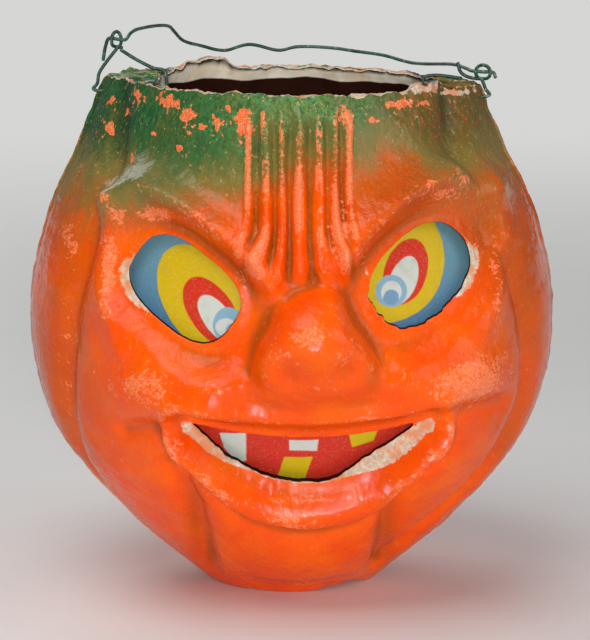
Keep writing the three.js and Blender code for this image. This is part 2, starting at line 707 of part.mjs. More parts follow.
// Candle cup on the dished floor, held by a rivet through the seam
const floorTop = WALL + FOOT_DISH;
const cupBase = floorTop;
const candleCup = lathe([
  [RIVET_RADIUS + WIRE_CLEARANCE, cupBase],
  [CUP_FLANGE_RADIUS, cupBase],
  [CUP_FLANGE_RADIUS, cupBase + TIN],
  [CUP_RADIUS, cupBase + TIN],
  [CUP_RADIUS, cupBase + CUP_HEIGHT - 0.6],
  [CUP_RADIUS + 0.5, cupBase + CUP_HEIGHT],
  [CUP_RADIUS - TIN + 0.5, cupBase + CUP_HEIGHT],
  [CUP_RADIUS - TIN, cupBase + CUP_HEIGHT - 0.6],
  [CUP_RADIUS - TIN, cupBase + TIN],
  [RIVET_RADIUS + WIRE_CLEARANCE, cupBase + TIN],
  [RIVET_RADIUS + WIRE_CLEARANCE, cupBase],
], 32);

const rivetTop = cupBase + TIN;
const rivetFoot = FOOT_DISH - RIVET_HEAD;
const cupRivet = lathe([
  [0, rivetFoot - 0.4],
  [RIVET_HEAD_RADIUS * 0.7, rivetFoot - 0.3],
  [RIVET_HEAD_RADIUS, rivetFoot + 0.2],
  [RIVET_HEAD_RADIUS, FOOT_DISH],
  [RIVET_RADIUS, FOOT_DISH],
  [RIVET_RADIUS, rivetTop],
  [RIVET_HEAD_RADIUS, rivetTop],
  [RIVET_HEAD_RADIUS, rivetTop + RIVET_HEAD * 0.6],
  [RIVET_HEAD_RADIUS * 0.9, rivetTop + RIVET_HEAD],
  [0, rivetTop + RIVET_HEAD],
], 20);

function lathe(profile, segments) {
  const geometry = new THREE.LatheGeometry(profile.map(([r, z]) => new THREE.Vector2(r, z)), segments);
  return geometry.rotateX(Math.PI / 2);
}

// Finishes
const finish = (color, roughness, metalness = 0) => new THREE.MeshStandardMaterial({ color, roughness, metalness });
const orangePulp = finish('#e8500a', 0.42);
const printedPaper = finish('#c9a52a', 0.7);
const greenWire = finish('#3f6b57', 0.5, 0.6);
const tin = finish('#b9b6ae', 0.35, 0.9);

const pieces = [
  ['front_shell', frontShell, orangePulp],
  ['back_shell', backShell, orangePulp],
  ['face_insert', faceInsert, printedPaper],
  ['bail', wire(handlePoints(), 80), greenWire],
  ['ear_left', wire(leftEar, 66), greenWire],
  ['ear_right', wire(rightEar, 66), greenWire],
  ['candle_cup', candleCup, tin],
  ['cup_rivet', cupRivet, tin],
];

// The origin is the middle of the whole object's base
const object = new THREE.Group();
object.name = 'paper_mache_jack_o_lantern';
for (const [name, geometry, material] of pieces) {
  const mesh = new THREE.Mesh(geometry, material);
  mesh.name = name;
  object.add(mesh);
}
const box = new THREE.Box3().setFromObject(object);
const centre = box.getCenter(new THREE.Vector3());
for (const mesh of object.children) mesh.geometry.translate(-centre.x, -centre.y, -box.min.z);

export default object;
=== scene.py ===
"""Looks of the paper mache jack-o-lantern: varnished, worn paint on moulded pulp, printed paper
behind the openings, weathered green wire and a tin candle cup."""

import math

import bpy
import numpy as np
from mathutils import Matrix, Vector


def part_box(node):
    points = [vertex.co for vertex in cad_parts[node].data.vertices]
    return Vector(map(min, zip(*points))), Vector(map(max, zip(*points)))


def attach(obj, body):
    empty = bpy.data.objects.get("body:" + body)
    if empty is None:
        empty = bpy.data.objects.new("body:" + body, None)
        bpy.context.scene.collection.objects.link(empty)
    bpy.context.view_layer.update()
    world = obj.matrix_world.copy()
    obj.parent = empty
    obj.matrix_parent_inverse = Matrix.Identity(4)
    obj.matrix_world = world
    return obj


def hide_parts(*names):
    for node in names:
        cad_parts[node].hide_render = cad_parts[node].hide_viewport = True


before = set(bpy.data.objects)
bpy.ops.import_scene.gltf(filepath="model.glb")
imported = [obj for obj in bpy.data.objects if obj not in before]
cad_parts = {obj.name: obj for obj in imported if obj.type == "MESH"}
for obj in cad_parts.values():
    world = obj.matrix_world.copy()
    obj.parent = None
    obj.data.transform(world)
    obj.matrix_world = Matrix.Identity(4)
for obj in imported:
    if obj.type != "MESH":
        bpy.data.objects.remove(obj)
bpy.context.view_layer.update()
MM = 0.001

# Form of the moulded body, in mm, the same as the solids'. The seam plane is y = 0 here.
BODY_HEIGHT = 146.0
FOOT_HALF_WIDTH = 25.0
BELLY_HALF_WIDTH = 75.4
BELLY_HEIGHT = 76.0
RIM_HALF_WIDTH = 53.2
RIM_HALF_DEPTH = 52.0
FRONT_FULLNESS = 0.9
BACK_FULLNESS = 0.86
RIM_FORM_HEIGHT = 52.0
RIM_LENS_POWER = 1.65
RIM_DROP = 2.0
BACK_FLAP = (-32, -19)
FRONT_FLAP = (32.5, 42)
WALL = 2.6
CREASE_DEPTH = 1.1
CREASE_SPREAD = 2.6
SIDE_ANGLE = 1.5707
SEAM_GAP = 0.2
FOLD_LEFT = 13.5
FOLD_RIGHT = 8.0
FOLD_HEIGHT = 14.0
FOOT_DISH = 2.2
FOOT_RING = 0.68
RIB_ANGLES = (18.0, 53.5)
# Valleys between the face and the ribs: height, degrees round from the front
LEFT_VALLEY = (
    (36.5, 71.5), (51.5, 64), (73.5, 57), (94, 54.5), (106, 53), (119, 51), (135, 56.5), (144, 62)
)
RIGHT_VALLEY = (
    (17, 49), (28, 58), (40, 63), (57, 66), (73, 63), (86, 61), (104, 54), (127, 49), (144, 53)
)
RIB_DEPTH = 3.0
RIB_SPREAD = 5.5
SEAM_RIDGE = 0.8
SEAM_RIDGE_SPREAD = 1.3

# Openings: x, z, half axes, tilt in degrees, squareness
EYES = ((-28.9, 94.0, 15.7, 11.0, -36.0, 2.8), (35.0, 97.2, 14.9, 11.3, 41.0, 2.4))
SOCKET_DEPTH = 3.0
SOCKET_FLAT = 2.0
SOCKET_WIDTH = 10.0
MOUTH_SET = 6.5
MOUTH_X = 4.6
MOUTH_HALF_WIDTH = 32.4
MOUTH_CORNER_Z = 57.5
UPPER_SAG = 3.4
LOWER_SAG = 17.5

FURROW_PITCH = 4.6
FURROW_HEIGHT = 1.2
FURROW_X = 2.1
FURROW_HALF_WIDTH = 16.0
FURROW_BOTTOM = 95.0
FURROW_TOP = 144.5

# Mounds: x, z, half width, half height, rise, power
MOUNDS = (
    (6.0, 79.5, 14.5, 15.0, 8.5, 4), (6.0, 81.0, 10.5, 9.0, 5.9, 2), (-5.0, 73.0, 6.0, 6.5, 3.0, 2),
    (18.0, 73.5, 6.0, 6.5, 3.0, 2), (-0.5, 74.5, 4.0, 4.0, -4.5, 2),
    (13.8, 75.0, 4.2, 4.2, -4.5, 2), (-35.0, 66.0, 13.0, 9.5, 6.0, 2),
    (46.0, 69.0, 13.0, 9.5, 6.0, 2), (-19.0, 68.0, 8.0, 8.0, 4.5, 2),
    (28.0, 69.5, 8.0, 8.0, 4.5, 2), (2.0, 117.0, 17.0, 27.0, 2.4, 2),
    (2.0, 14.0, 17.0, 11.0, 4.0, 2),
)

NOSTRILS = tuple(mound[:2] for mound in MOUNDS if mound[4] == -4.5)

# Folds: rise, spread, line
BROW_LEFT = ((-47, 115), (-38.5, 119), (-26, 112.5), (-16, 106.5), (-9, 99))
BROW_RIGHT = ((52, 118), (42, 121.5), (29, 116), (20, 110.5), (13, 102.5))
NOSE_ARCH = (
    (-11.5, 74), (-10, 82), (-4.5, 90.5), (2, 95.5), (8, 97.5), (15.5, 94), (21.5, 85), (24, 75)
)
FOLDS = (
    (6.0, 6.0, BROW_LEFT),
    (6.0, 6.0, BROW_RIGHT),
    (2.2, 4.0, ((-49, 113), (-51, 100), (-50, 88), (-46, 78))),
    (2.2, 4.0, ((56, 114), (58.5, 104), (57.5, 92), (52, 82))),
    (-2.4, 3.0, NOSE_ARCH),
    (-2.0, 3.2, ((-27, 57), (-35, 57), (-45, 54))),
    (-2.4, 3.2, ((37, 58), (44, 60.5), (58, 60))),
    (-3.4, 3.2, ((-33, 44), (-27, 30), (-24.5, 16), (-23.5, 4))),
    (-3.4, 3.2, ((31, 38), (26.5, 22), (25, 8))),
)
LIP_RISE = 5.4
LIP_MIDDLE = 8.5
LIP_SPREAD = 4.6
LIP_NARROWING = 0.38
LIP_CREASE = 2.6
LIP_CREASE_OFFSET = 15.0
UPPER_LIP_RISE = 2.6

SHEET_THICKNESS = 0.4
SHEET_CLEARANCE = 0.8
SHEET_ANGLES = (-45.0, 50.0)
SHEET_HEIGHTS = (34.0, 116.0)

# The seam plane and the body's middle, from the candle cup that stands on them
cup_low, cup_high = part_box("candle_cup")
HOME = np.array([(cup_low.x + cup_high.x) / 2, (cup_low.y + cup_high.y) / 2, 0.0])


def soft(a, b, x):
    t = np.clip((x - a) / (b - a), 0.0, 1.0)
    return t * t * (3 - 2 * t)


def bell(u):
    return np.exp(-u * u)


def flat(x, z):
    return np.stack((x, z, np.zeros_like(x)), -1)


def mix(a, b, share):
    return a + (b - a) * share


# Repeatable lattice noise, about -1 to 1
def lattice(ix, iy, iz, seed):
    h = (ix * 374761393 + iy * 668265263 + iz * 2147483647 + seed * 1274126177) & 0xFFFFFFFF
    h = ((h ^ (h >> 13)) * 1274126177) & 0xFFFFFFFF
    h = (h ^ (h >> 16)) & 0xFFFFFFFF
    return h / 2147483647.5 - 1.0


def noise(points, scale, seed, octaves=1):
    total = np.zeros(points.shape[:-1])
    weight = 1.0
    for octave in range(octaves):
        p = points / scale * (2**octave) + 17.3 * seed
        base = np.floor(p).astype(np.int64)
        f = p - base
        f = f * f * f * (f * (f * 6 - 15) + 10)
        value = 0.0
        for dx in (0, 1):
            for dy in (0, 1):
                for dz in (0, 1):
                    w = (
                        (f[..., 0] if dx else 1 - f[..., 0])
                        * (f[..., 1] if dy else 1 - f[..., 1])
                        * (f[..., 2] if dz else 1 - f[..., 2])
                    )
                    value = value + w * lattice(
                        base[..., 0] + dx, base[..., 1] + dy, base[..., 2] + dz, seed + octave
                    )
        total += weight * value
        weight /= 2
    return total


# Body profile
belly = BELLY_HALF_WIDTH - FOOT_HALF_WIDTH
crown = BODY_HEIGHT - BELLY_HEIGHT
taper = BELLY_HALF_WIDTH - RIM_HALF_WIDTH
PROFILE = np.array(
    [
        (0, FOOT_HALF_WIDTH),
        (0.26 * BELLY_HEIGHT, FOOT_HALF_WIDTH + 0.45 * belly),
        (0.55 * BELLY_HEIGHT, FOOT_HALF_WIDTH + 0.82 * belly),
        (BELLY_HEIGHT, BELLY_HALF_WIDTH),
        (BELLY_HEIGHT + 0.46 * crown, BELLY_HALF_WIDTH - 0.26 * taper),
        (BELLY_HEIGHT + 0.77 * crown, BELLY_HALF_WIDTH - 0.71 * taper),
        (BODY_HEIGHT, RIM_HALF_WIDTH),
    ]
)
chords = np.diff(PROFILE[:, 1]) / np.diff(PROFILE[:, 0])
shares = np.diff(PROFILE[:, 0])[:-1] / (PROFILE[2:, 0] - PROFILE[:-2, 0])
SLOPES = np.concatenate(
    ([chords[0]], chords[:-1] * (1 - shares) + chords[1:] * shares, [chords[-1]])
)


def half_width(height):
    z, w = PROFILE[:, 0], PROFILE[:, 1]
    i = np.clip(np.searchsorted(z, height) - 1, 0, len(z) - 2)
    span = z[i + 1] - z[i]
    t = np.clip((height - z[i]) / span, 0, 1)
    s = 1 - t
    return (
        w[i] * (1 + 2 * t) * s * s
        + SLOPES[i] * span * t * s * s
        + w[i + 1] * t * t * (3 - 2 * t)
        - SLOPES[i + 1] * span * t * t * s
    )


def body_form(height, side):
    width = half_width(height)
    rim = soft(BODY_HEIGHT - RIM_FORM_HEIGHT, BODY_HEIGHT, height)
    fullness = FRONT_FULLNESS if side < 0 else BACK_FULLNESS
    ratio = mix(fullness, RIM_HALF_DEPTH / RIM_HALF_WIDTH, rim)
    return width, width * ratio, 1 + (RIM_LENS_POWER - 1) * rim


def body_point(angle, height, side):
    width, depth, power = body_form(height, side)
    across = np.maximum(np.cos(angle), 1e-9)
    return np.stack(
        (width * np.sin(angle), side * depth * across**power, np.broadcast_to(height, angle.shape)),
        -1,
    )


def body_normal(angle, height, side):
    width, depth, power = body_form(height, side)
    across = np.maximum(np.cos(angle), 1e-9)
    nx = np.sin(angle) / width
    ny = side * across ** (2 - power) / (power * depth)
    step = 0.5
    rise = body_point(angle, np.minimum(height + step, BODY_HEIGHT), side) - body_point(
        angle, np.maximum(height - step, 0), side
    )
    nz = -(nx * rise[..., 0] + ny * rise[..., 1]) / rise[..., 2]
    n = np.stack((nx, ny, nz), -1)
    return n / np.linalg.norm(n, axis=-1, keepdims=True)


def eye_distance(eye, x, z):
    ex, ez, a, b, tilt, square = eye
    c, s = cos_sin(tilt)
    u = np.abs((x - ex) * c + (z - ez) * s) / a
    v = np.abs((z - ez) * c - (x - ex) * s) / b
    return ((u**square + v**square) ** (1 / square) - 1) * (a + b) / 2


def cos_sin(degrees):
    return math.cos(math.radians(degrees)), math.sin(math.radians(degrees))


def mouth_share(x):
    return np.clip((x - MOUTH_X) / MOUTH_HALF_WIDTH, -1, 1)


def mouth_edge(x, sag):
    return MOUTH_CORNER_Z - sag * (1 - mouth_share(x) ** 2)


def mouth_place(x, z):
    """How far a point lies outside the mouth, and its share of the lower lip."""
    share = mouth_share(x)
    beyond = np.maximum(np.abs(x - MOUTH_X) - MOUTH_HALF_WIDTH, 0)
    below = (mouth_edge(x, LOWER_SAG) - z) / np.hypot(1, 2 * LOWER_SAG * share / MOUTH_HALF_WIDTH)
    above = (z - mouth_edge(x, UPPER_SAG)) / np.hypot(1, 2 * UPPER_SAG * share / MOUTH_HALF_WIDTH)
    off = np.maximum(below, above)
    return np.where(beyond > 0, np.hypot(off, beyond), off), soft(-3, 3, below - above)


def line_distance(x, z, line):
    nearest = np.full(np.shape(x), 1e9)
    for (ax, az), (bx, bz) in zip(line[:-1], line[1:]):
        dx, dz = bx - ax, bz - az
        t = np.clip(((x - ax) * dx + (z - az) * dz) / (dx * dx + dz * dz), 0, 1)
        nearest = np.minimum(nearest, np.hypot(x - ax - t * dx, z - az - t * dz))
    return nearest


def valley_offset(angle, height):
    """Degrees between a point of the front and the valley on its side."""
    left = np.interp(height, *zip(*LEFT_VALLEY))
    right = np.interp(height, *zip(*RIGHT_VALLEY))
    return np.degrees(angle) - np.where(angle < 0, -left, right)


def rib_relief(angle, height, side):
    degrees = np.degrees(angle)
    if side < 0:
        relief = -RIB_DEPTH * bell(valley_offset(angle, height) / RIB_SPREAD)
        relief = relief * soft(np.where(angle < 0, 24, 2), np.where(angle < 0, 40, 20), height)
    else:
        relief = sum(-RIB_DEPTH * bell((np.abs(degrees) - rib) / RIB_SPREAD) for rib in RIB_ANGLES)
        relief = relief * soft(2, 20, height)
    relief = relief * (1 - 0.55 * soft(BODY_HEIGHT - 30, BODY_HEIGHT, height))
    flash = SEAM_RIDGE * bell((90 - np.abs(degrees)) / SEAM_RIDGE_SPREAD)
    return relief + flash * soft(0, 12, height)


def face_relief(x, z):
    relief = np.zeros(np.shape(x))
    for mx, mz, rx, rz, rise, power in MOUNDS:
        relief += rise * np.exp(-(np.hypot((x - mx) / rx, (z - mz) / rz) ** power))
    for rise, spread, line in FOLDS:
        relief += rise * bell(line_distance(x, z, line) / spread)
    away, lower = mouth_place(x, z)
    to_corner = np.abs(x - MOUTH_X) / MOUTH_HALF_WIDTH
    lip_end = 1 - soft(1.05, 1.35, to_corner)
    lip_place = away / (1 - LIP_NARROWING * soft(0.4, 1.1, to_corner))
    relief += LIP_RISE * bell((lip_place - LIP_MIDDLE) / LIP_SPREAD) * lower * lip_end
    relief -= LIP_CREASE * bell((lip_place - LIP_CREASE_OFFSET) / 3) * lower * lip_end
    relief += UPPER_LIP_RISE * bell((away - 6) / 3.5) * (1 - lower) * lip_end
    flare = 1 + 0.35 * (1 - soft(FURROW_BOTTOM, FURROW_BOTTOM + 17, z))
    spot = flat(x, 0.2 * z)
    across = (x - FURROW_X) / flare + 0.8 * noise(spot, 6, 13)
    furrowed = soft(FURROW_BOTTOM, FURROW_BOTTOM + 4, z)
    furrowed *= 1 - soft(FURROW_TOP - 10, FURROW_TOP, z)
    furrowed *= 1 - soft(FURROW_HALF_WIDTH - 4, FURROW_HALF_WIDTH, np.abs(across))
    furrowed *= 1.1 + 0.5 * noise(spot, 4.5, 14)
    relief += FURROW_HEIGHT * np.cos(2 * np.pi * across / FURROW_PITCH) * furrowed
    for eye in EYES:
        from_edge = soft(SOCKET_FLAT, SOCKET_WIDTH, eye_distance(eye, x, z))
        relief = mix(-SOCKET_DEPTH, relief, from_edge)
    relief = mix(-SOCKET_DEPTH, relief, soft(0, MOUTH_SET, away))
    return relief * soft(1, 10, z)


def shell_relief(angle, height, side):
    point = body_point(angle, height, side)
    face = face_relief(point[..., 0], height) if side < 0 else 0
    return np.maximum(face + rib_relief(angle, height, side), -SOCKET_DEPTH)


def tilt_rim(point):
    share = soft(BODY_HEIGHT - 36, BODY_HEIGHT, point[..., 2])
    point[..., 2] -= RIM_DROP * share * point[..., 0] / (2 * RIM_HALF_WIDTH)
    return point


# The pulp's own roughness: soft lumps, screen texture and torn rim
def pulp_lumps(point):
    stretched = point * np.array([1.0, 1.0, 0.55])
    return (
        0.28 * noise(point, 7.5, 2)
        + 0.14 * noise(point, 3.6, 3, 2)
        + 0.09 * noise(stretched, 1.4, 5, 2)
        + 0.03 * noise(point, 0.8, 8)
    )


# Sharp creases at the bottom of the valleys
def rib_crease(angle, height, side):
    if side > 0:
        return np.zeros(np.shape(angle))
    spot = flat(angle * 40, height)
    off = valley_offset(angle, height) + 1.2 * noise(spot, 14, 11, 2)
    ends = soft(4, 22, height) * (1 - 0.7 * soft(98, 120, height))
    ends = ends * (0.75 + 0.35 * noise(spot, 11, 12, 2))
    return ends * bell(off / CREASE_SPREAD)


def carved(angle, height, side):
    return shell_relief(angle, height, side) - CREASE_DEPTH * rib_crease(angle, height, side)


def beside(angle, height, reach, turns):
    """Places round a point of the body, at a distance along its surface."""
    for turn in range(turns):
        way = 2 * math.pi * turn / turns
        da = reach * math.cos(way) / half_width(height)
        dh = reach * math.sin(way)
        yield np.clip(angle + da, -SIDE_ANGLE, SIDE_ANGLE), np.clip(height + dh, 0, BODY_HEIGHT)


def lowest_near(relief, angle, height):
    """The lowest relief in the wall's reach, so that the wall stays whole behind steep folds."""
    for reach in (WALL * 0.8, WALL * 1.7):
        for place in beside(angle, height, reach, 8):
            relief = np.minimum(relief, carved(*place, -1))
    return relief


def window(x, low, high, ramp):
    return soft(low - ramp, low + ramp, x) * (1 - soft(high - ramp, high + ramp, x))


def shell_point(angle, height, side, depth):
    point = body_point(angle, height, side)
    normal = body_normal(angle, height, side)
    lumps = pulp_lumps(point) * soft(0, 3, height)
    relief = carved(angle, height, side)
    if depth > 0 and side < 0:
        relief = lowest_near(relief, angle, height)
    point = point + normal * (relief + lumps)[..., None]
    if depth > 0:
        # Behind the face the wall is measured straight back, as the openings are cut
        straight = soft(68, 50, np.abs(np.degrees(angle))) * (1 if side < 0 else 0)
        back = depth / np.maximum(np.abs(normal[..., 1]), 0.5)
        point = point - normal * (depth * (1 - straight))[..., None]
        point[..., 1] += back * straight
        fold = np.where(point[..., 0] < 0, FOLD_LEFT, FOLD_RIGHT)
        band = soft(BODY_HEIGHT - FOLD_HEIGHT, BODY_HEIGHT - 2, height)
        shift = fold * band * np.abs(np.sin(angle)) ** 6
        point[..., 0] -= np.sign(point[..., 0]) * np.minimum(shift, np.abs(point[..., 0]))
    top = height >= BODY_HEIGHT - 1e-6
    point[..., 2] = np.where(top, BODY_HEIGHT, point[..., 2])
    off_seam = np.where(np.abs(angle) > math.radians(89.99), 0, np.maximum(side * point[..., 1], 0))
    point[..., 1] = side * (off_seam + SEAM_GAP / 2)
    ragged = 0.7 * noise(point, 3.6, 21, 2) + 0.16 * noise(point, 0.9, 23) - 0.25
    if side > 0:
        flap = 1.9 * window(point[..., 0], *BACK_FLAP, 1.2) * (1 + 0.4 * noise(point, 4, 25))
    else:
        flap = 1.7 * window(point[..., 0], *FRONT_FLAP, 1.2) * (1 + 0.5 * noise(point, 3, 27))
    ragged = ragged + flap
    point[..., 2] += ragged * soft(BODY_HEIGHT - 4, BODY_HEIGHT, point[..., 2])
    return tilt_rim(point)


def row_heights(count):
    fine = np.linspace(BODY_HEIGHT, 0, 801)
    lengths = np.concatenate(([0], np.cumsum(np.hypot(np.diff(fine), np.diff(half_width(fine))))))
    heights = np.interp(np.linspace(0, lengths[-1], count + 1), lengths, fine)
    heights[0], heights[-1] = BODY_HEIGHT, 0.0
    return heights


def column_angles(count, evenness):
    s = np.linspace(-1, 1, count + 1)
    return np.radians(90 * (evenness * s + (1 - evenness) * s**3))


# Mesh building
def add_object(name, data):
    thing = bpy.data.objects.new(name, data)
    bpy.context.scene.collection.objects.link(thing)
    return thing


def make_mesh(name, points, faces):
    mesh = bpy.data.meshes.new(name)
    mesh.vertices.add(len(points))
    mesh.vertices.foreach_set("co", (np.asarray(points) * MM + HOME).astype(np.float32).ravel())
    faces = np.asarray(faces, dtype=np.int32)
    width = faces.shape[1]
    mesh.loops.add(faces.size)
    mesh.loops.foreach_set("vertex_index", faces.ravel())
    mesh.polygons.add(len(faces))
    mesh.polygons.foreach_set("loop_start", np.arange(0, faces.size, width, dtype=np.int32))
    mesh.polygons.foreach_set("loop_total", np.full(len(faces), width, dtype=np.int32))
    mesh.update(calc_edges=True)
    mesh.validate()
    mesh.polygons.foreach_set("use_smooth", np.ones(len(mesh.polygons), bool))
    return add_object(name, mesh)


def paint(thing, name, values):
    values = np.asarray(values)
    layer = thing.data.color_attributes.new(name, "FLOAT_COLOR", "POINT")
    rgba = np.ones((len(thing.data.vertices), 4), dtype=np.float32)
    rgba[:, : values.shape[1]] = values
    layer.data.foreach_set("color", rgba.ravel())


def loose_edges(quads, count):
    """Directed edges that only one face uses."""
    sides = np.concatenate([quads[:, [i, (i + 1) % 4]] for i in range(4)]).astype(np.int64)
    key = sides.min(1) * count + sides.max(1)
    _, first, uses = np.unique(key, return_index=True, return_counts=True)
    return sides[first[uses == 1]]


def ring_faces(count, sides):
    """Vertex numbers of a row of rings, and the faces between them."""
    index = np.arange(count * sides).reshape(-1, sides)
    nxt = np.roll(index, -1, axis=1)
    return index, np.stack((index[:-1], nxt[:-1], nxt[1:], index[1:]), -1).reshape(-1, 4)


def slab(front, back, keep, flip):
    """A closed body from two grids of points, with the cells that aren't kept left open."""
    rows, columns = front.shape[:2]
    index = np.arange(rows * columns).reshape(rows, columns)
    corners = [index[:-1, :-1], index[1:, :-1], index[1:, 1:], index[:-1, 1:]]
    if flip:
        corners = corners[::-1]
    quads = np.stack(corners, -1)[keep]
    count = index.size
    border = loose_edges(quads, count)
    wall = np.stack((border[:, 1], border[:, 0], border[:, 0] + count, border[:, 1] + count), -1)
    faces = np.concatenate((quads, quads[:, ::-1] + count, wall))
    used = np.zeros(2 * count, bool)
    used[faces] = True
    number = np.cumsum(used) - 1
    points = np.concatenate((front.reshape(-1, 3), back.reshape(-1, 3)))[used]
    return points, number[faces], used


FLOOR_SHARES = np.concatenate((np.linspace(0.97, 0.03, 20), [0.0]))
LIP_STEPS = 44
# Cells' corners this near an opening's edge, in mm, are moved onto it
SNAP_NEAR = 0.16
SNAP_FAR = 1.5
SNAP_ROUNDS = 5
SNAP_PROBE = 0.02


def floor_rows(last, side, depth):
    inward = soft(0, 0.1, 1 - FLOOR_SHARES)
    lift = FOOT_DISH * (1 - soft(0.4, FOOT_RING, FLOOR_SHARES)) + depth * inward
    made = last[None] * FLOOR_SHARES[:, None, None]
    seam = side * SEAM_GAP / 2
    made[..., 1] = (last[None, :, 1] - seam) * FLOOR_SHARES[:, None] + seam
    made[..., 2] = last[None, :, 2] * (1 - inward)[:, None] + lift[:, None]
    return made


def cut_openings(angle, height, side, openings):
    """Moves the grid's points onto the openings' edges, and tells which cells stay."""

    def gap_at(angle, height):
        seen = shell_point(angle, height, side, 0.0)
        gap = np.full(seen.shape[:-1], 1e9)
        for distance in openings:
            gap = np.minimum(gap, distance(seen[..., 0], seen[..., 2]))
        return gap

    def gap_of(x, z):
        return gap_at(np.arcsin(np.clip(x / half_width(z), -1, 1)), z)

    def snap(mask):
        x = half_width(height[mask]) * np.sin(angle[mask])
        z = height[mask].copy()
        for _ in range(SNAP_ROUNDS):
            gap = gap_of(x, z)
            gx = (gap_of(x + SNAP_PROBE, z) - gap) / SNAP_PROBE
            gz = (gap_of(x, z + SNAP_PROBE) - gap) / SNAP_PROBE
            g2 = np.maximum(gx * gx + gz * gz, 0.3)
            x = x - 0.9 * gap * gx / g2
            z = z - 0.9 * gap * gz / g2
        height[mask] = z
        angle[mask] = np.arcsin(np.clip(x / half_width(z), -1, 1))

    rows, columns = angle.shape[0] - 1, angle.shape[1] - 1
    if not openings:
        return np.ones((rows, columns), bool)
    snap(np.abs(gap_at(angle, height)) < SNAP_NEAR)
    gap = gap_at(angle, height)
    hole = gap < -0.03
    keep = ~(hole[:-1, :-1] | hole[1:, :-1] | hole[1:, 1:] | hole[:-1, 1:])
    kept = np.zeros(angle.shape, bool)
    gone = np.zeros(angle.shape, bool)
    for dk in (0, 1):
        for dj in (0, 1):
            part = (slice(dk, dk + rows), slice(dj, dj + columns))
            kept[part] |= keep
            gone[part] |= ~keep
    snap(kept & gone & (np.abs(gap) > 0.01) & (np.abs(gap) < SNAP_FAR))
    return keep


def rim_lip(outer, inner):
    """The lip between the skins' top rows, in thin layers of pulp where it is folded in."""
    share = (np.arange(LIP_STEPS) / LIP_STEPS)[:, None, None]
    lip = inner + (outer - inner) * (share * 0.96 + 0.02)
    width = np.linalg.norm(outer - inner, axis=-1)[None]
    across = width * share[..., 0]
    wavy = 0.8 * noise(lip * np.array([0.35, 1, 1]), 6.0, 31)
    wavy = np.abs(lip[..., 1]) / 3.4 + across / 14 + wavy
    layer = wavy - np.floor(wavy)
    folded = soft(4, 9, width)
    layer = soft(0, 0.5, layer) * (1 - 0.75 * soft(0.5, 1, layer)) * folded
    lip[..., 2] += 1.5 * layer - 0.9 * folded + 0.2 * noise(lip, 3.0, 33, 2)
    return lip, layer


def half_shell(side, columns, rows, evenness, openings):
    """One pulp half: an outer and an inner skin on one grid, cut at the openings and joined."""
    angle, height = np.meshgrid(column_angles(columns, evenness), row_heights(rows))
    keep = cut_openings(angle, height, side, openings)
    outer = shell_point(angle, height, side, 0.0)
    inner = shell_point(angle, height, side, WALL)
    # The inner skin ends on the floor's upper face, a wall's thickness above the foot
    inner[..., 2] += WALL * (1 - soft(0, 2 * WALL, inner[..., 2]))
    lip, layer = rim_lip(outer[0], inner[0])
    inner[0, :, 2] -= 0.5
    outer = np.concatenate((lip, outer, floor_rows(outer[-1], side, 0.0)))
    if side < 0:
        worn_edge = 1.4 * soft(0, 17, outer[..., 0]) + 0.5 * noise(outer, 5, 35)
        at_foot = soft(3.6, 0, outer[..., 2]) * soft(8, 17, -outer[..., 1])
        outer[..., 2] += np.clip(worn_edge, 0, 1.7) * at_foot
    lip_rows = np.repeat(inner[:1], LIP_STEPS, 0)
    inner = np.concatenate((lip_rows, inner, floor_rows(inner[-1], side, WALL)))
    inner[:LIP_STEPS, :, 2] -= 0.001 * np.arange(LIP_STEPS, 0, -1)[:, None]
    added = ((LIP_STEPS, len(FLOOR_SHARES)), (0, 0))
    points, faces, used = slab(
        outer, inner, np.pad(keep, added, constant_values=True), side > 0
    )
    layers = np.zeros(outer.shape[:2])
    layers[:LIP_STEPS] = layer
    on_lip = np.zeros(outer.shape[:2], bool)
    on_lip[:LIP_STEPS] = True
    facts = {
        "angle": np.tile(np.pad(angle, added, "edge").ravel(), 2),
        "height": np.tile(np.pad(height, added, "edge").ravel(), 2),
        "inner": np.arange(2 * layers.size) >= layers.size,
        "lip": np.concatenate((on_lip, np.zeros_like(on_lip))).ravel(),
        "layer": np.concatenate((layers, np.zeros_like(layers))).ravel(),
    }
    return points, faces, {name: fact[used] for name, fact in facts.items()}


# Openings, a little torn
def eye_gap(eye, torn):
    def gap(x, z):
        spot = flat(x, z)
        low = soft(eye[1] + 2, eye[1] - 6, z)
        rough = (0.10 + torn * low) * noise(spot, 1.9, 41, 2)
        return eye_distance(eye, x, z) + rough + 0.05 * noise(spot, 0.6, 43)

    return gap


def mouth_gap(x, z):
    spot = flat(x, z)
    away, lower = mouth_place(x, z)
    stub = 2.9 * soft(9, 21, x) + 0.8 * soft(-20, -26, x)
    return away + (0.06 + 0.4 * lower) * noise(spot, 1.7, 45, 2) + stub * lower


OPENINGS = (eye_gap(EYES[0], 0.0), eye_gap(EYES[1], 0.35), mouth_gap)
DETAIL = 1.0


def count(n):
    return int(n * DETAIL)


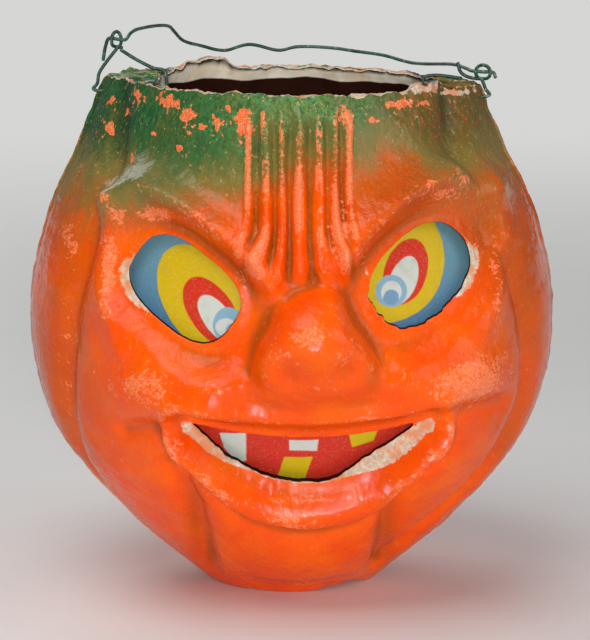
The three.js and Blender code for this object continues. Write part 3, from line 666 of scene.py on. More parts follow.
# Worn places of the front: x, z, half width, half height, strength
WORN_SPOTS = (
    (-41, 68, 14, 7, 0.7), (-50, 98, 3.0, 13, 0.9), (-37, 113.5, 10, 3, 0.75),
    (-48, 113, 4, 4, 0.8), (-51, 88, 3, 6, 0.7), (-62, 103, 3, 8, 0.65), (-60, 120, 4, 6, 0.35),
    (-12.5, 138, 3.4, 6, 0.7), (15.5, 140, 4, 5, 0.75), (13, 112, 3.5, 14, 0.75),
    (50, 68, 13, 8.5, 0.95), (56.5, 94, 2.6, 14, 0.75), (43, 119, 9, 2.8, 0.7),
    (4, 85, 8, 3.5, 0.8), (-1, 80, 4, 5, 0.6), (14, 79, 4, 5, 0.6), (6, 71, 9, 3, 0.55),
    (-13, 98, 3.4, 8, 0.55), (19, 103, 3, 8, 0.45), (-21, 69, 5, 4, 0.6), (30, 70, 6, 4, 0.5),
    (0, 35.5, 22, 1.8, 0.6), (30, 40, 8, 2.2, 0.55), (-31, 52, 4, 6, 0.6), (4, 4, 22, 3, 0.4),
    (-63, 70, 5, 24, 0.45), (66, 60, 4, 20, 0.3),
)
# Chips of the green that show the orange: x, z, half width, half height
CHIPS = (
    (-43.0, 143.4, 1.4, 0.9), (-34.0, 142.4, 2.1, 1.4), (-28.0, 140.2, 2.2, 1.8),
    (-24.0, 137.0, 0.7, 0.7), (-20.0, 138.0, 0.9, 2.1), (-17.0, 142.6, 0.9, 0.7),
    (-12.8, 139.0, 1.8, 2.8), (-51.0, 140.6, 0.7, 1.2), (-51.6, 133.4, 1.3, 1.2),
    (-46.0, 138.5, 0.6, 1.0), (-38.0, 134.0, 0.6, 0.6), (-30.5, 131.0, 0.7, 0.8),
    (-44.0, 127.0, 0.6, 1.2), (28.5, 142.6, 3.0, 0.8), (36.5, 142.0, 1.5, 0.7),
    (22.0, 139.0, 0.6, 0.8),
)
# Brown airbrush paint, with painted shade in the grooves, under the brows, beside the nose and
# towards the sides: x, z, half width, half height, strength
SHADE_SPOTS = (
    (36, 122, 18, 15, 0.85), (24, 122, 11, 15, 0.75), (54, 114, 9, 22, 0.9), (66, 92, 9, 28, 0.9),
    (66, 60, 6, 22, 0.5), (26, 110, 7, 7, 0.5), (-20, 115, 11, 6, 0.5), (20, 115, 8, 5, 0.5),
    (-58, 92, 3, 28, 0.6), (-61, 60, 3, 24, 0.5), (-27, 28, 3, 14, 0.6), (27, 22, 3, 14, 0.6),
    (-22, 105, 9, 3, 0.3), (-10, 72, 2.5, 4, 0.4), (22, 72, 2.5, 4, 0.4),
)


def spots(x, z, table):
    total = np.zeros(np.shape(x))
    for sx, sz, rx, rz, amount in table:
        total = np.maximum(total, amount * bell(np.hypot((x - sx) / rx, (z - sz) / rz)))
    return total


# Heights between which the green fades, at the left and the middle of the front, and behind
GREEN_LEFT = (97.0, 137.0)
GREEN_MIDDLE = (116.0, 145.0)
GREEN_BACK = (104.0, 136.0)


def colour_masks(points, facts, side):
    """Green, brown airbrush with painted shade, wear; bare pulp, painted shadow inside, painted
    shade in the cracks; olive, chips, pale green.
    """
    x, _, z = points.T
    angle, height = facts["angle"], facts["height"]
    inner, lip = facts["inner"], facts["lip"]
    relief = shell_relief(angle, height, side)
    crest = relief - sum(shell_relief(*place, side) for place in beside(angle, height, 4.0, 8)) / 8
    ridge = relief - sum(shell_relief(*place, side) for place in beside(angle, height, 1.7, 4)) / 4
    drift = 5.0 * noise(points, 22, 51, 2)
    streak = noise(points * np.array([1, 1, 0.16]), 2.6, 53, 2)
    left = soft(20, -60, x)
    if side < 0:
        lower = mix(GREEN_MIDDLE[0], GREEN_LEFT[0], left) - 17.0 * soft(20, 50, x)
        upper = mix(GREEN_MIDDLE[1], GREEN_LEFT[1], left) + 4.0 * soft(15, 50, x)
    else:
        lower, upper = GREEN_BACK
    middle = bell((x - 2) / 17) if side < 0 else 0
    green = soft(0, 1, (z + drift + 2.2 * streak - lower - 3 * middle) / (upper - lower))
    furrows = window(x, -14, 18, 2) * soft(96, 102, z) if side < 0 else 0
    # Brown in the hollows, creases and furrow floors: airbrush paint with painted shade where the
    # surface curves in
    shade = 0.7 * soft(0.35, 1.9, -crest) + (0.22 + 0.4 * furrows) * soft(0.12, 0.6, -ridge)
    worn = np.maximum(soft(0.5, 2.0, crest) * 0.42, soft(0.12, 0.5, ridge) * 0.5)
    worn = worn * (1 + 0.3 * noise(points, 9, 55))
    bands = 0.85 + 1.2 * noise(points * np.array([1, 1, 0.3]), 5, 56) - 0.3 * soft(124, 140, z)
    worn = np.maximum(worn, soft(-0.02, 0.3, ridge) * bands * furrows)
    chips = np.zeros(len(x))
    if side < 0:
        shade = shade * soft(-1, 9, mouth_place(x, z)[0])
        for nx, nz in NOSTRILS:
            shade = shade * (1 - 0.85 * bell(np.hypot(x - nx, z - nz) / 5))
        # Painted shade: the front turns brown towards its sides, where the light falls off the
        # curve
        edge = 0.7 * soft(44, 64, np.abs(x)) * (1 + 0.3 * noise(points, 9, 68, 2))
        shade = np.maximum(shade, edge * mix(0.75, 1.0, soft(60, 100, z) * (x > 0)))
        # Painted shade along the sharp creases and down the valleys beside the face
        shade = np.maximum(shade, 0.6 * rib_crease(angle, height, side))
        valley_shade = bell(valley_offset(angle, height) / 5) * soft(30, 50, height)
        shade = np.maximum(shade, valley_shade * mix(0.55, 0.95, soft(96, 116, z)))
        worn = np.maximum(worn, spots(x, z, WORN_SPOTS))
        shade = np.maximum(shade, spots(x, z, SHADE_SPOTS))
        torn = 1 + 0.7 * noise(points, 1.6, 65, 3)
        for cx, cz, rx, rz in CHIPS:
            off = np.hypot((x - cx) / rx, (z - cz) / rz) * torn
            chips = np.maximum(chips, soft(1.25, 0.8, off))
    else:
        worn = worn * 0.8
        # Behind, the brown grows towards the top
        shade = np.maximum(shade, 0.3 * soft(60, 120, z))
    seam = soft(88.2, 89.4, np.abs(np.degrees(angle)))
    worn = np.maximum(worn, 0.55 * seam)
    worn = worn + 0.18 * noise(points, 3.5, 57, 2)
    olive = soft(10, 42, x) if side < 0 else 0.35 + 0.3 * noise(points, 20, 67)
    olive = olive + 0.25 * noise(points, 11, 69, 2)
    bright = (0.8 * bell((x - 4) / 26) if side < 0 else 0.3) * soft(108, 140, z)
    bright = np.where(lip, 1.0 if side > 0 else 0.5, bright)
    from_rim = BODY_HEIGHT - height
    bare = soft(0.6, 0.0, from_rim) * 0.6 + 0.3 * noise(points, 2.2, 59, 2) * soft(3, 0.5, from_rim)
    if side < 0:
        strip = np.hypot((x - 46.5) / 4.4, (z - 143.4 + 0.12 * (x - 46.5)) / 0.8)
        bare = np.maximum(bare, 0.8 * soft(1.3, 0.8, strip * torn))
        bare = np.maximum(bare, 0.7 * window(x, 33, 41, 1) * soft(2.4, 1.0, from_rim))
    else:
        bare = np.maximum(bare, window(x, -33, -18, 1) * soft(2.6, 1.6, from_rim))
    if side < 0:
        for eye, out in zip(EYES, (-1, 1)):
            away = eye_distance(eye, x, z)
            facing = soft(0.2, 0.95, out * (x - eye[0]) / np.hypot(x - eye[0], z - eye[1]))
            facing = facing * soft(-13, -3, z - eye[1]) * (1 - 0.6 * soft(4, 10, z - eye[1]))
            ring = facing * soft(5.0, 0.4, away)
            worn = np.maximum(worn, ring)
            bare = np.maximum(bare, 1.1 * ring * ring)
        away, lower = mouth_place(x, z)
        reach = 0.3 + 3.0 * soft(-8, -24, x) + 3.6 * soft(14, 30, x)
        bare = np.maximum(bare, soft(reach, reach * 0.4, away) * lower)
    bare = np.clip(bare, 0, 1)
    # Painted shadow inside: the inner wall turns dark below a pale band just under the rim
    inside_shadow = np.where(inner, 0.5 + (from_rim - 3.2 + 0.5 * noise(points, 9, 61, 2)) / 12, 0)
    bare = np.where(inner, 2, bare)
    ends = soft(6, 10, np.abs(x) - 28)
    rough = 0.3 * noise(points, 2.5, 63)
    layered = 0.08 + rough + 0.3 * soft(0.85, 1.0, facts["layer"])
    bare = np.where(lip, mix((0.62 if side > 0 else 0.66) + 1.3 * rough, layered, ends), bare)
    green = np.where(lip, 1, green)
    worn = np.where(lip, 0.1, worn)
    # Painted shade, near black, in the gaps between the rim's folded layers
    crack_shade = np.where(lip, soft(0.42, 0.1, facts["layer"]) * ends, 0)
    return (
        np.stack((green, shade, worn), -1),
        np.stack((bare, inside_shadow, crack_shade), -1),
        np.stack((np.clip(olive, 0, 1), chips, bright), -1),
    )


# Threads of the mould's screen, in metres
SCREEN_PITCH = 0.00095


class Paint:
    """Builds one procedural material."""

    def __init__(self, name, base, roughness):
        self.material = bpy.data.materials.new(name)
        self.material.use_nodes = True
        self.tree = self.material.node_tree
        self.shader = self.tree.nodes["Principled BSDF"]
        self.set("Base Color", base)
        self.set("Roughness", roughness)
        self.place = self.node("TexCoord").outputs["Object"]

    def node(self, kind):
        return self.tree.nodes.new("ShaderNode" + kind)

    def link(self, value, socket):
        if isinstance(value, (int, float, tuple)):
            socket.default_value = value
        else:
            self.tree.links.new(value, socket)

    def set(self, name, value):
        self.link(value, self.shader.inputs[name])

    def math(self, kind, a, b=0.0, clamp=False):
        node = self.node("Math")
        node.operation = kind
        node.use_clamp = clamp
        self.link(a, node.inputs[0])
        self.link(b, node.inputs[1])
        return node.outputs[0]

    def plus(self, a, b, clamp=False):
        return self.math("ADD", a, b, clamp)

    def minus(self, a, b):
        return self.math("SUBTRACT", a, b)

    def times(self, a, b, clamp=False):
        return self.math("MULTIPLY", a, b, clamp)

    def most(self, a, b):
        return self.math("MAXIMUM", a, b)

    def sway(self, value, noise, amount, clamp=False):
        """A value moved up and down by a noise."""
        return self.plus(value, self.times(self.minus(noise, 0.5), amount), clamp)

    def noise(self, size, stretch=(1, 1, 1), detail=3.0, roughness=0.55):
        scaling = self.node("Mapping")
        self.link(self.place, scaling.inputs["Vector"])
        scaling.inputs["Scale"].default_value = stretch
        node = self.node("TexNoise")
        self.link(scaling.outputs[0], node.inputs["Vector"])
        node.inputs["Scale"].default_value = 1.0 / size
        node.inputs["Detail"].default_value = detail
        node.inputs["Roughness"].default_value = roughness
        return node.outputs["Fac"]

    def weave(self, pitch):
        """Threads of a screen, up the body and round it."""
        node = self.node("Attribute")
        node.attribute_name = "round"
        parts = []
        for axis in "XY":
            wave = self.node("TexWave")
            wave.bands_direction = axis
            wave.inputs["Scale"].default_value = 0.314 / pitch / 10
            wave.inputs["Distortion"].default_value = 1.2
            wave.inputs["Detail Scale"].default_value = 2.0
            self.link(node.outputs["Vector"], wave.inputs["Vector"])
            parts.append(wave.outputs["Fac"])
        return self.times(self.plus(*parts), 0.5)

    def step(self, value, low, high):
        node = self.node("MapRange")
        node.interpolation_type = "SMOOTHSTEP"
        self.link(value, node.inputs["Value"])
        node.inputs["From Min"].default_value = low
        node.inputs["From Max"].default_value = high
        return node.outputs["Result"]

    def mix(self, share, a, b):
        node = self.node("Mix")
        node.data_type = "RGBA"
        self.link(share, node.inputs["Factor"])
        self.link(a, node.inputs[6])
        self.link(b, node.inputs[7])
        return node.outputs[2]

    def tone(self, value, low, high, dark, light):
        """A colour between two, by a value."""
        return self.mix(self.step(value, low, high), srgb(*dark), srgb(*light))

    def attribute(self, name):
        node = self.node("Attribute")
        node.attribute_name = name
        split = self.node("SeparateColor")
        self.link(node.outputs["Color"], split.inputs[0])
        return node.outputs["Color"], split.outputs[0], split.outputs[1], split.outputs[2]

    def bump(self, height, distance, strength, below=None):
        node = self.node("Bump")
        node.inputs["Distance"].default_value = distance
        self.link(strength, node.inputs["Strength"])
        self.link(height, node.inputs["Height"])
        if below is not None:
            self.link(below, node.inputs["Normal"])
        return node.outputs[0]


def srgb(*colour):
    linear = (((c / 255 + 0.055) / 1.055) ** 2.4 if c > 10 else c / 255 / 12.92 for c in colour)
    return (*linear, 1.0)


def painted_pulp():
    m = Paint("painted_pulp", srgb(255, 88, 0), 0.34)
    # tones carry the green, the brown airbrush with painted shade, and the wear; pulp carries bare
    # pulp, painted shadow inside and painted shade in the cracks
    _, green, shade, worn = m.attribute("tones")
    _, bare, inside, crack_shade = m.attribute("pulp")
    _, olive, chips, bright = m.attribute("tints")
    coarse = m.noise(0.014)
    fine = m.noise(0.0011, detail=4.0, roughness=0.65)
    grain = m.noise(0.0005, detail=2.0)
    streaks = m.noise(0.0009, (1, 1, 0.22))
    orange = m.tone(coarse, 0.35, 0.7, (248, 80, 0), (252, 98, 0))
    orange = m.mix(m.times(m.step(fine, 0.5, 0.75), 0.45), orange, srgb(228, 68, 0))
    # Brown of the airbrush and of the painted shade in hollows, grooves and towards the sides
    brown = m.tone(fine, 0.3, 0.7, (136, 66, 12), (190, 82, 10))
    shading = m.times(shade, m.plus(0.4, m.times(fine, 1.0)), True)
    colour = m.mix(shading, orange, brown)
    leaf = m.tone(streaks, 0.35, 0.65, (22, 72, 38), (48, 104, 54))
    leaf = m.mix(m.times(bright, m.step(fine, 0.35, 0.6)), leaf, srgb(104, 148, 82))
    rust = m.tone(fine, 0.35, 0.65, (132, 84, 26), (190, 84, 14))
    rust = m.mix(m.step(streaks, 0.35, 0.7), srgb(96, 92, 36), rust)
    leaf = m.mix(m.times(olive, 0.85), leaf, rust)
    # The green turns dark green under the airbrush and the painted shade
    leaf = m.mix(m.times(shading, 0.7), leaf, srgb(14, 40, 28))
    sallow = m.tone(streaks, 0.35, 0.65, (116, 112, 54), (142, 112, 50))
    blend = m.tone(fine, 0.35, 0.65, (160, 92, 34), (196, 92, 30))
    patchy = m.sway(green, streaks, 0.5)
    patchy = m.sway(patchy, fine, 0.4)
    for low, high, layer in ((0.02, 0.4, blend), (0.22, 0.62, sallow), (0.5, 1.0, leaf)):
        colour = m.mix(m.step(patchy, low, high), colour, layer)
    hatch = m.noise(0.0012, (0.35, 1, 1), roughness=0.7)
    rubbed = worn
    for grit, amount in ((fine, 1.5), (hatch, 0.9), (coarse, 0.6)):
        rubbed = m.sway(rubbed, grit, amount)
    rubbed = m.step(rubbed, 0.54, 0.72)
    salmon = m.tone(grain, 0.35, 0.7, (246, 108, 52), (252, 156, 112))
    colour = m.mix(m.times(rubbed, 0.78), colour, salmon)
    chipped = m.step(m.sway(chips, fine, 0.9), 0.44, 0.66)
    undercoat = m.tone(grain, 0.4, 0.7, (232, 100, 44), (240, 156, 110))
    colour = m.mix(chipped, colour, undercoat)
    fleck = m.step(m.noise(0.0011, (1, 1, 0.6), roughness=0.8), 0.62, 0.67)
    colour = m.mix(m.times(fleck, m.plus(0.2, m.times(green, 0.5))), colour, srgb(222, 186, 120))
    pulp = m.tone(fine, 0.3, 0.7, (196, 168, 142), (228, 210, 190))
    clean = m.step(bare, 1.2, 1.6)
    pulp = m.mix(clean, pulp, m.tone(coarse, 0.4, 0.6, (238, 228, 206), (226, 206, 178)))
    stained = m.times(m.step(m.noise(0.004), 0.42, 0.62), m.minus(1.0, clean))
    pulp = m.mix(stained, pulp, srgb(220, 150, 108))
    peeled = m.sway(bare, fine, 1.1)
    peeled = m.step(peeled, 0.42, 0.6)
    colour = m.mix(peeled, colour, pulp)
    # Painted shadow: dark brown inside, below a pale band at the rim
    inside = m.step(inside, 0.49, 0.53)
    colour = m.mix(inside, colour, srgb(46, 20, 12))
    # Painted shade, near black, in the gaps between the rim's layers
    colour = m.mix(m.times(crack_shade, 0.9), colour, srgb(10, 14, 8))
    m.set("Base Color", colour)
    dull = m.plus(0.24, m.times(rubbed, 0.06))
    dull = m.plus(dull, m.times(m.most(peeled, inside), 0.5), True)
    dull = m.sway(dull, fine, 0.2, True)
    m.set("Roughness", dull)
    relief = m.bump(m.noise(0.0024, detail=2.0), 0.0005, 0.5)
    for height, distance in ((streaks, 0.0002), (fine, 0.00024), (grain, 0.00004)):
        relief = m.bump(height, distance, 0.5, relief)
    woven = m.times(m.step(coarse, 0.35, 0.65), 0.6)
    relief = m.bump(m.weave(SCREEN_PITCH), 0.00006, woven, relief)
    m.set("Normal", relief)
    m.set("Specular IOR Level", 0.04)
    m.set("Coat Weight", m.times(m.minus(1.0, m.most(peeled, inside)), 0.45))
    m.set("Coat Roughness", 0.06)
    m.set("Coat Normal", relief)
    return m.material


def printed_paper():
    m = Paint("printed_paper", srgb(210, 60, 40), 0.5)
    print_colour = m.attribute("print")[0]
    grain = m.noise(0.0006)
    blots = m.noise(0.004)
    colour = m.mix(m.times(m.step(grain, 0.5, 0.8), 0.12), print_colour, srgb(232, 226, 206))
    colour = m.mix(m.times(m.step(blots, 0.5, 0.8), 0.2), colour, srgb(120, 100, 70))
    m.set("Base Color", colour)
    m.set("Specular IOR Level", 0.25)
    m.set("Normal", m.bump(grain, 0.00008, 0.5, m.bump(blots, 0.0004, 0.3)))
    return m.material


def green_wire():
    m = Paint("green_wire", srgb(60, 110, 88), 0.4)
    chips = m.noise(0.0012)
    film = m.noise(0.006, detail=2.0)
    colour = m.tone(film, 0.35, 0.65, (20, 56, 44), (48, 92, 74))
    steel = m.step(chips, 0.56, 0.66)
    colour = m.mix(m.times(steel, 0.7), colour, srgb(136, 150, 128))
    m.set("Base Color", colour)
    m.set("Metallic", m.times(steel, 0.3))
    m.set("Roughness", m.plus(0.32, m.times(chips, 0.25)))
    m.set("Normal", m.bump(chips, 0.00012, 0.6))
    return m.material


def tinplate():
    m = Paint("tinplate", srgb(178, 176, 168), 0.32)
    haze = m.noise(0.004, detail=4.0)
    rust = m.step(m.noise(0.0025, detail=5.0, roughness=0.7), 0.6, 0.68)
    colour = m.mix(haze, srgb(150, 148, 140), srgb(196, 194, 186))
    colour = m.mix(m.times(rust, 0.7), colour, srgb(112, 62, 30))
    m.set("Base Color", colour)
    m.set("Metallic", m.minus(0.95, m.times(rust, 0.7)))
    m.set("Roughness", m.plus(0.25, m.times(haze, 0.3)))
    m.set("Normal", m.bump(haze, 0.0002, 0.3))
    return m.material


PULP = painted_pulp()
PAPER = printed_paper()
WIRE = green_wire()
TINPLATE = tinplate()


def settle(thing, body, slot, material, *nodes):
    thing.data.materials.append(material)
    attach(thing, body)
    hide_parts(*nodes)


# The two pulp halves; the screen's pattern is laid at this radius, in mm
SKIN_ROUND = 68
for side, node, columns, rows, evenness, openings in (
    (-1, "front_shell", 420, 360, 0.5, OPENINGS),
    (1, "back_shell", 260, 200, 0.8, ()),
):
    points, faces, facts = half_shell(side, count(columns), count(rows), evenness, openings)
    half = make_mesh("pulp_" + node.split("_")[0], points, faces)
    for name, values in zip(("tones", "pulp", "tints"), colour_masks(points, facts, side)):
        paint(half, name, values)
    paint(half, "round", np.stack((facts["angle"] * SKIN_ROUND, facts["height"]), -1) * MM)
    settle(half, "shell", "painted_pulp", PULP, node)


# Printed sheet: rings are x, z, half axes, tilt and colour, from the widest in
LEFT_RINGS = (
    (-23.5, 90.5, 16.6, 10.8, -54, srgb(206, 174, 6)),
    (-21.6, 87.9, 10.4, 6.1, -54, srgb(204, 44, 14)),
    (-20.0, 86.1, 7.3, 3.7, -53, srgb(198, 204, 194)),
    (-16.8, 84.5, 4.4, 4.8, 0, srgb(130, 168, 188)),
    (-17.6, 83.9, 2.9, 2.5, 0, srgb(200, 206, 198)),
    (-15.7, 83.0, 2.0, 2.0, 0, srgb(128, 166, 188)),
)
RIGHT_RINGS = (
    (20.9, 104.1, 18.0, 22.3, 56, srgb(206, 174, 6)),
    (31.1, 98.0, 8.8, 6.0, 73, srgb(204, 44, 14)),
    (30.4, 95.7, 6.6, 3.8, 68, srgb(198, 204, 194)),
    (27.1, 93.1, 4.2, 4.4, 55, srgb(130, 168, 188)),
    (27.1, 92.9, 2.8, 2.9, 0, srgb(200, 206, 198)),
    (27.0, 91.4, 2.1, 2.1, 0, srgb(110, 150, 182)),
)
PRINT_MIDDLE = 4
GUM_TOP = 64.0
# Teeth: colour and corners
WHITE = srgb(204, 208, 198)
YELLOW = srgb(208, 178, 8)
TEETH = (
    (WHITE, ((-19.5, 53.9), (-12.4, 54.3), (-12.4, 45.9), (-14.7, 44.8), (-18.5, 49.7))),
    (WHITE, ((-0.6, 52.4), (7.3, 52.4), (7.1, 49.0), (-0.4, 49.4))),
    (YELLOW, ((-2.0, 47.2), (5.7, 47.1), (3.5, 39.6), (-3.7, 41.0))),
    (YELLOW, ((15.7, 53.8), (23.7, 54.8), (22.6, 51.5), (16.6, 49.8))),
)


def ellipse_gap(x, z, ring):
    cx, cz, a, b, tilt = ring[:5]
    c, s = cos_sin(tilt)
    u = ((x - cx) * c + (z - cz) * s) / a
    v = ((z - cz) * c - (x - cx) * s) / b
    r = np.hypot(u, v)
    return (r - 1) * (a + b) / 2


def corners_gap(x, z, corners):
    """Signed distance outside a convex outline with softly rounded corners."""
    cx = sum(c[0] for c in corners) / len(corners)
    cz = sum(c[1] for c in corners) / len(corners)
    gap = np.full(np.shape(x), -1e9)
    for (ax, az), (bx, bz) in zip(corners, corners[1:] + corners[:1]):
        nx, nz = bz - az, ax - bx
        length = math.hypot(nx, nz)
        nx, nz = nx / length, nz / length
        if (cx - ax) * nx + (cz - az) * nz > 0:
            nx, nz = -nx, -nz
        gap = np.maximum(gap, (x - ax) * nx + (z - az) * nz)
    return gap


def print_colours(x, z):
    spot = flat(x, z)
    wobble = 0.12 * noise(spot, 3.0, 71, 2)
    blur = 0.12

    def lay(colour, over, gap, where=1):
        share = (soft(blur, -blur, gap + wobble) * where)[..., None]
        return colour * (1 - share) + np.array(over[:3]) * share

    fade = soft(76, 108, z)[..., None]
    blue = np.array(srgb(66, 112, 150)[:3]) * (1 - fade) + np.array(srgb(102, 146, 160)[:3]) * fade
    colour = np.broadcast_to(blue, x.shape + (3,)).copy()
    for rings, on_side in ((LEFT_RINGS, x < PRINT_MIDDLE), (RIGHT_RINGS, x > PRINT_MIDDLE)):
        for ring in rings:
            colour = lay(colour, ring[5], ellipse_gap(x, z, ring), on_side)
    colour = lay(colour, srgb(208, 48, 30), z - GUM_TOP)
    for tone, corners in TEETH:
        colour = lay(colour, tone, corners_gap(x, z, corners) - 0.05)
    edge = ellipse_gap(x, z, (-22.0, 88.0, 27.5, 20.5, -54)) * -1
    return lay(colour, srgb(214, 208, 190), np.maximum(np.maximum(edge, x + 20), 66 - z))


def sheet_points(depth, across, down):
    height = np.linspace(SHEET_HEIGHTS[1], SHEET_HEIGHTS[0], down + 1)
    angle = np.radians(np.linspace(SHEET_ANGLES[0], SHEET_ANGLES[1], across + 1))
    angle, height = np.meshgrid(angle, height)
    point = body_point(angle, height, -1)
    point = point - body_normal(angle, height, -1) * depth
    point[..., 1] -= SEAM_GAP / 2
    return tilt_rim(point)


sheet_depth = SOCKET_DEPTH + WALL + SHEET_CLEARANCE
across, down = count(460), count(360)
front, back = (sheet_points(sheet_depth + t, across, down) for t in (0.0, SHEET_THICKNESS))
points, faces, used = slab(front, back, np.ones((down, across), bool), False)
points[:, 1] += 0.06 * noise(points, 7, 73, 2)
sheet = make_mesh("printed_sheet", points, faces)
shown = print_colours(front[..., 0], front[..., 2]).reshape(-1, 3)
plain = np.broadcast_to(np.array(srgb(186, 168, 132)[:3]), shown.shape)
paint(sheet, "print", np.concatenate((shown, plain))[used])
settle(sheet, "shell", "printed_paper", PAPER, "face_insert")


# Wires, on the same points as the solids
WIRE_RADIUS = 0.55
WIRE_CLEARANCE = 0.3
EAR_Y = -1.6
EYE_PITCH = 1.5
EYE_STEPS = 10
WIRE_SIDES = 14
STEPS_PER_SPAN = 14
LEFT_EYE_RISE = 10.4
LEFT_EYE_INSET = 3.9
RIGHT_EYE_RISE = 3.0
RIGHT_EYE_OUTSET = 0.9
EAR_HOLE_DROP = 4.0
HANDLE_DROOP = 2.7
HANDLE_STUB = 6.5
HANDLE_KINKS = (
    (0.055, 15, 3.2), (0.126, 35, 4.1), (0.14, 38.5, 2.7), (0.165, 43.5, 0.1), (0.217, 51.5, -1.3),
    (0.284, 57.5, -2.3), (0.355, 61.5, 0.1), (0.443, 62.5, -0.9), (0.492, 62.5, 0.6),
    (0.593, 61.5, 1.3), (0.668, 58.5, 1), (0.744, 53.5, 0.7), (0.816, 46.5, -0.5),
    (0.852, 39.5, -0.4), (0.93, 19.5, 0.8),
)
RIM_EDGE = RIM_HALF_WIDTH + SEAM_RIDGE
HOLE_HEIGHT = BODY_HEIGHT - EAR_HOLE_DROP
left_rim, right_rim = BODY_HEIGHT + RIM_DROP / 2, BODY_HEIGHT - RIM_DROP / 2
LEFT_EYE = np.array([LEFT_EYE_INSET - RIM_EDGE, EAR_Y, left_rim + LEFT_EYE_RISE])
RIGHT_EYE = np.array([RIM_EDGE + RIGHT_EYE_OUTSET, EAR_Y, right_rim + RIGHT_EYE_RISE])


def ear_points(sign, eye, radius, tall, turn, rim_z, hole_z, inside, stub=False):
    def at(x, z, dy=0.0):
        return [sign * x, EAR_Y + dy, z]

    outside = RIM_EDGE + WIRE_RADIUS + WIRE_CLEARANCE
    wall = float(half_width(np.array(HOLE_HEIGHT))) + SEAM_RIDGE
    inside = inside - WIRE_RADIUS - WIRE_CLEARANCE - 0.4
    over = rim_z + WIRE_RADIUS + WIRE_CLEARANCE + 0.2
    eye_x = abs(eye[0])
    foot = eye[2] - tall
    if stub:
        points = [at(eye_x - 7.2, foot + 4.6, 2.2), at(eye_x - 6.2, foot + 1.7, 2.0)]
        points.append(at(eye_x - 3.8, foot + 0.3, 1.7))
    else:
        points = [at(eye_x - 1.7, foot - 0.5, 1.3)]
    c, s = cos_sin(turn)
    along = np.array([c * sign, -s, 0.0])
    across = np.array([s * sign, c, 0.0])
    for i in range(EYE_STEPS + 1):
        angle = -math.pi / 2 - 2 * math.pi * i / EYE_STEPS
        spot = eye - along * math.cos(angle) * radius + across * EYE_PITCH * (0.5 - i / EYE_STEPS)
        points.append(list(spot + np.array([0, 0, math.sin(angle) * tall])))
    points += [at(outside + 0.2, min(rim_z + 0.8, foot - 1.2), -0.3), at(outside + 0.9, hole_z + 2)]
    points += [at(wall + 1.3, hole_z + 0.5), at(wall + 0.3, hole_z), at(wall - 3, hole_z)]
    points += [at(inside + 3, hole_z), at(inside + 0.6, hole_z + 0.4), at(inside, hole_z + 1.4)]
    points += [at(inside, rim_z - 1), at(inside + 0.8, over + 0.4), at(inside + 3.5, over + 1)]
    return points


rim_inside = float(half_width(np.array(BODY_HEIGHT))) - WALL
left_ear = ear_points(
    -1, LEFT_EYE, 1.9, 2.1, 60, left_rim, HOLE_HEIGHT + RIM_DROP / 3, rim_inside - FOLD_LEFT
)
tie = LEFT_EYE - np.array([0, 0, 2.1])
last = left_ear[-1]
left_ear.append([(last[0] + tie[0]) / 2 + 0.5, EAR_Y - 0.5, (last[2] + tie[2]) / 2 - 0.7])
left_ear.append([tie[0] + 1.2, EAR_Y - 1.5, tie[2] - 0.8])
right_hole, right_inside = HOLE_HEIGHT - RIM_DROP / 2, rim_inside - FOLD_RIGHT - 4
right_ear = ear_points(
    1, RIGHT_EYE, 2.4, 2.0, 43, right_rim, right_hole, right_inside, stub=True
)
right_ear.append([RIGHT_EYE[0] - 6, EAR_Y, right_rim + WIRE_RADIUS + WIRE_CLEARANCE + 0.3])


def handle_points():
    axis = RIGHT_EYE - LEFT_EYE
    span = float(np.linalg.norm(axis))
    axis = axis / span
    droop = math.radians(HANDLE_DROOP)
    back = np.array([0.0, math.cos(droop), -math.sin(droop)])
    back = back - axis * back.dot(axis)
    back = back / np.linalg.norm(back)
    up = np.cross(axis, back)

    def place(share, reach, lift):
        return LEFT_EYE + axis * span * share + back * reach + up * lift

    mm = 1 / span
    points = [place(-3.4 * mm, 2, -HANDLE_STUB), place(-3 * mm, 0.8, -2.6), place(-2.1 * mm, 0, 0)]
    points += [place(0, 0, 0), place(2.4 * mm, 0, 0), place(3.6 * mm, 3.6, 1.8)]
    points += [place(*kink) for kink in HANDLE_KINKS]
    points += [place(1 - 4.2 * mm, 4.5, 0.3), place(1 - 3 * mm, 0, 0), place(1, 0, 0)]
    points += [place(1 + 3 * mm, 0, 0), place(1 + 3.8 * mm, 0.6, -1.4)]
    return points


def smooth_path(points, per_span):
    p = np.array(points, float)
    p = np.vstack((2 * p[0] - p[1], p, 2 * p[-1] - p[-2]))
    made = []
    for i in range(1, len(p) - 2):
        p0, p1, p2, p3 = p[i - 1 : i + 3]
        chords = np.diff(p[i - 1 : i + 3], axis=0)
        d0, d1, d2 = (max(np.linalg.norm(chord), 1e-4) ** 0.5 for chord in chords)
        t1 = ((p1 - p0) / d0 - (p2 - p0) / (d0 + d1) + (p2 - p1) / d1) * d1
        t2 = ((p2 - p1) / d1 - (p3 - p1) / (d1 + d2) + (p3 - p2) / d2) * d1
        squared = -3 * p1 + 3 * p2 - 2 * t1 - t2
        cubed = 2 * p1 - 2 * p2 + t1 + t2
        for t in np.linspace(0, 1, per_span, endpoint=False):
            made.append(p1 + t1 * t + squared * t**2 + cubed * t**3)
    made.append(p[-2])
    return np.array(made)


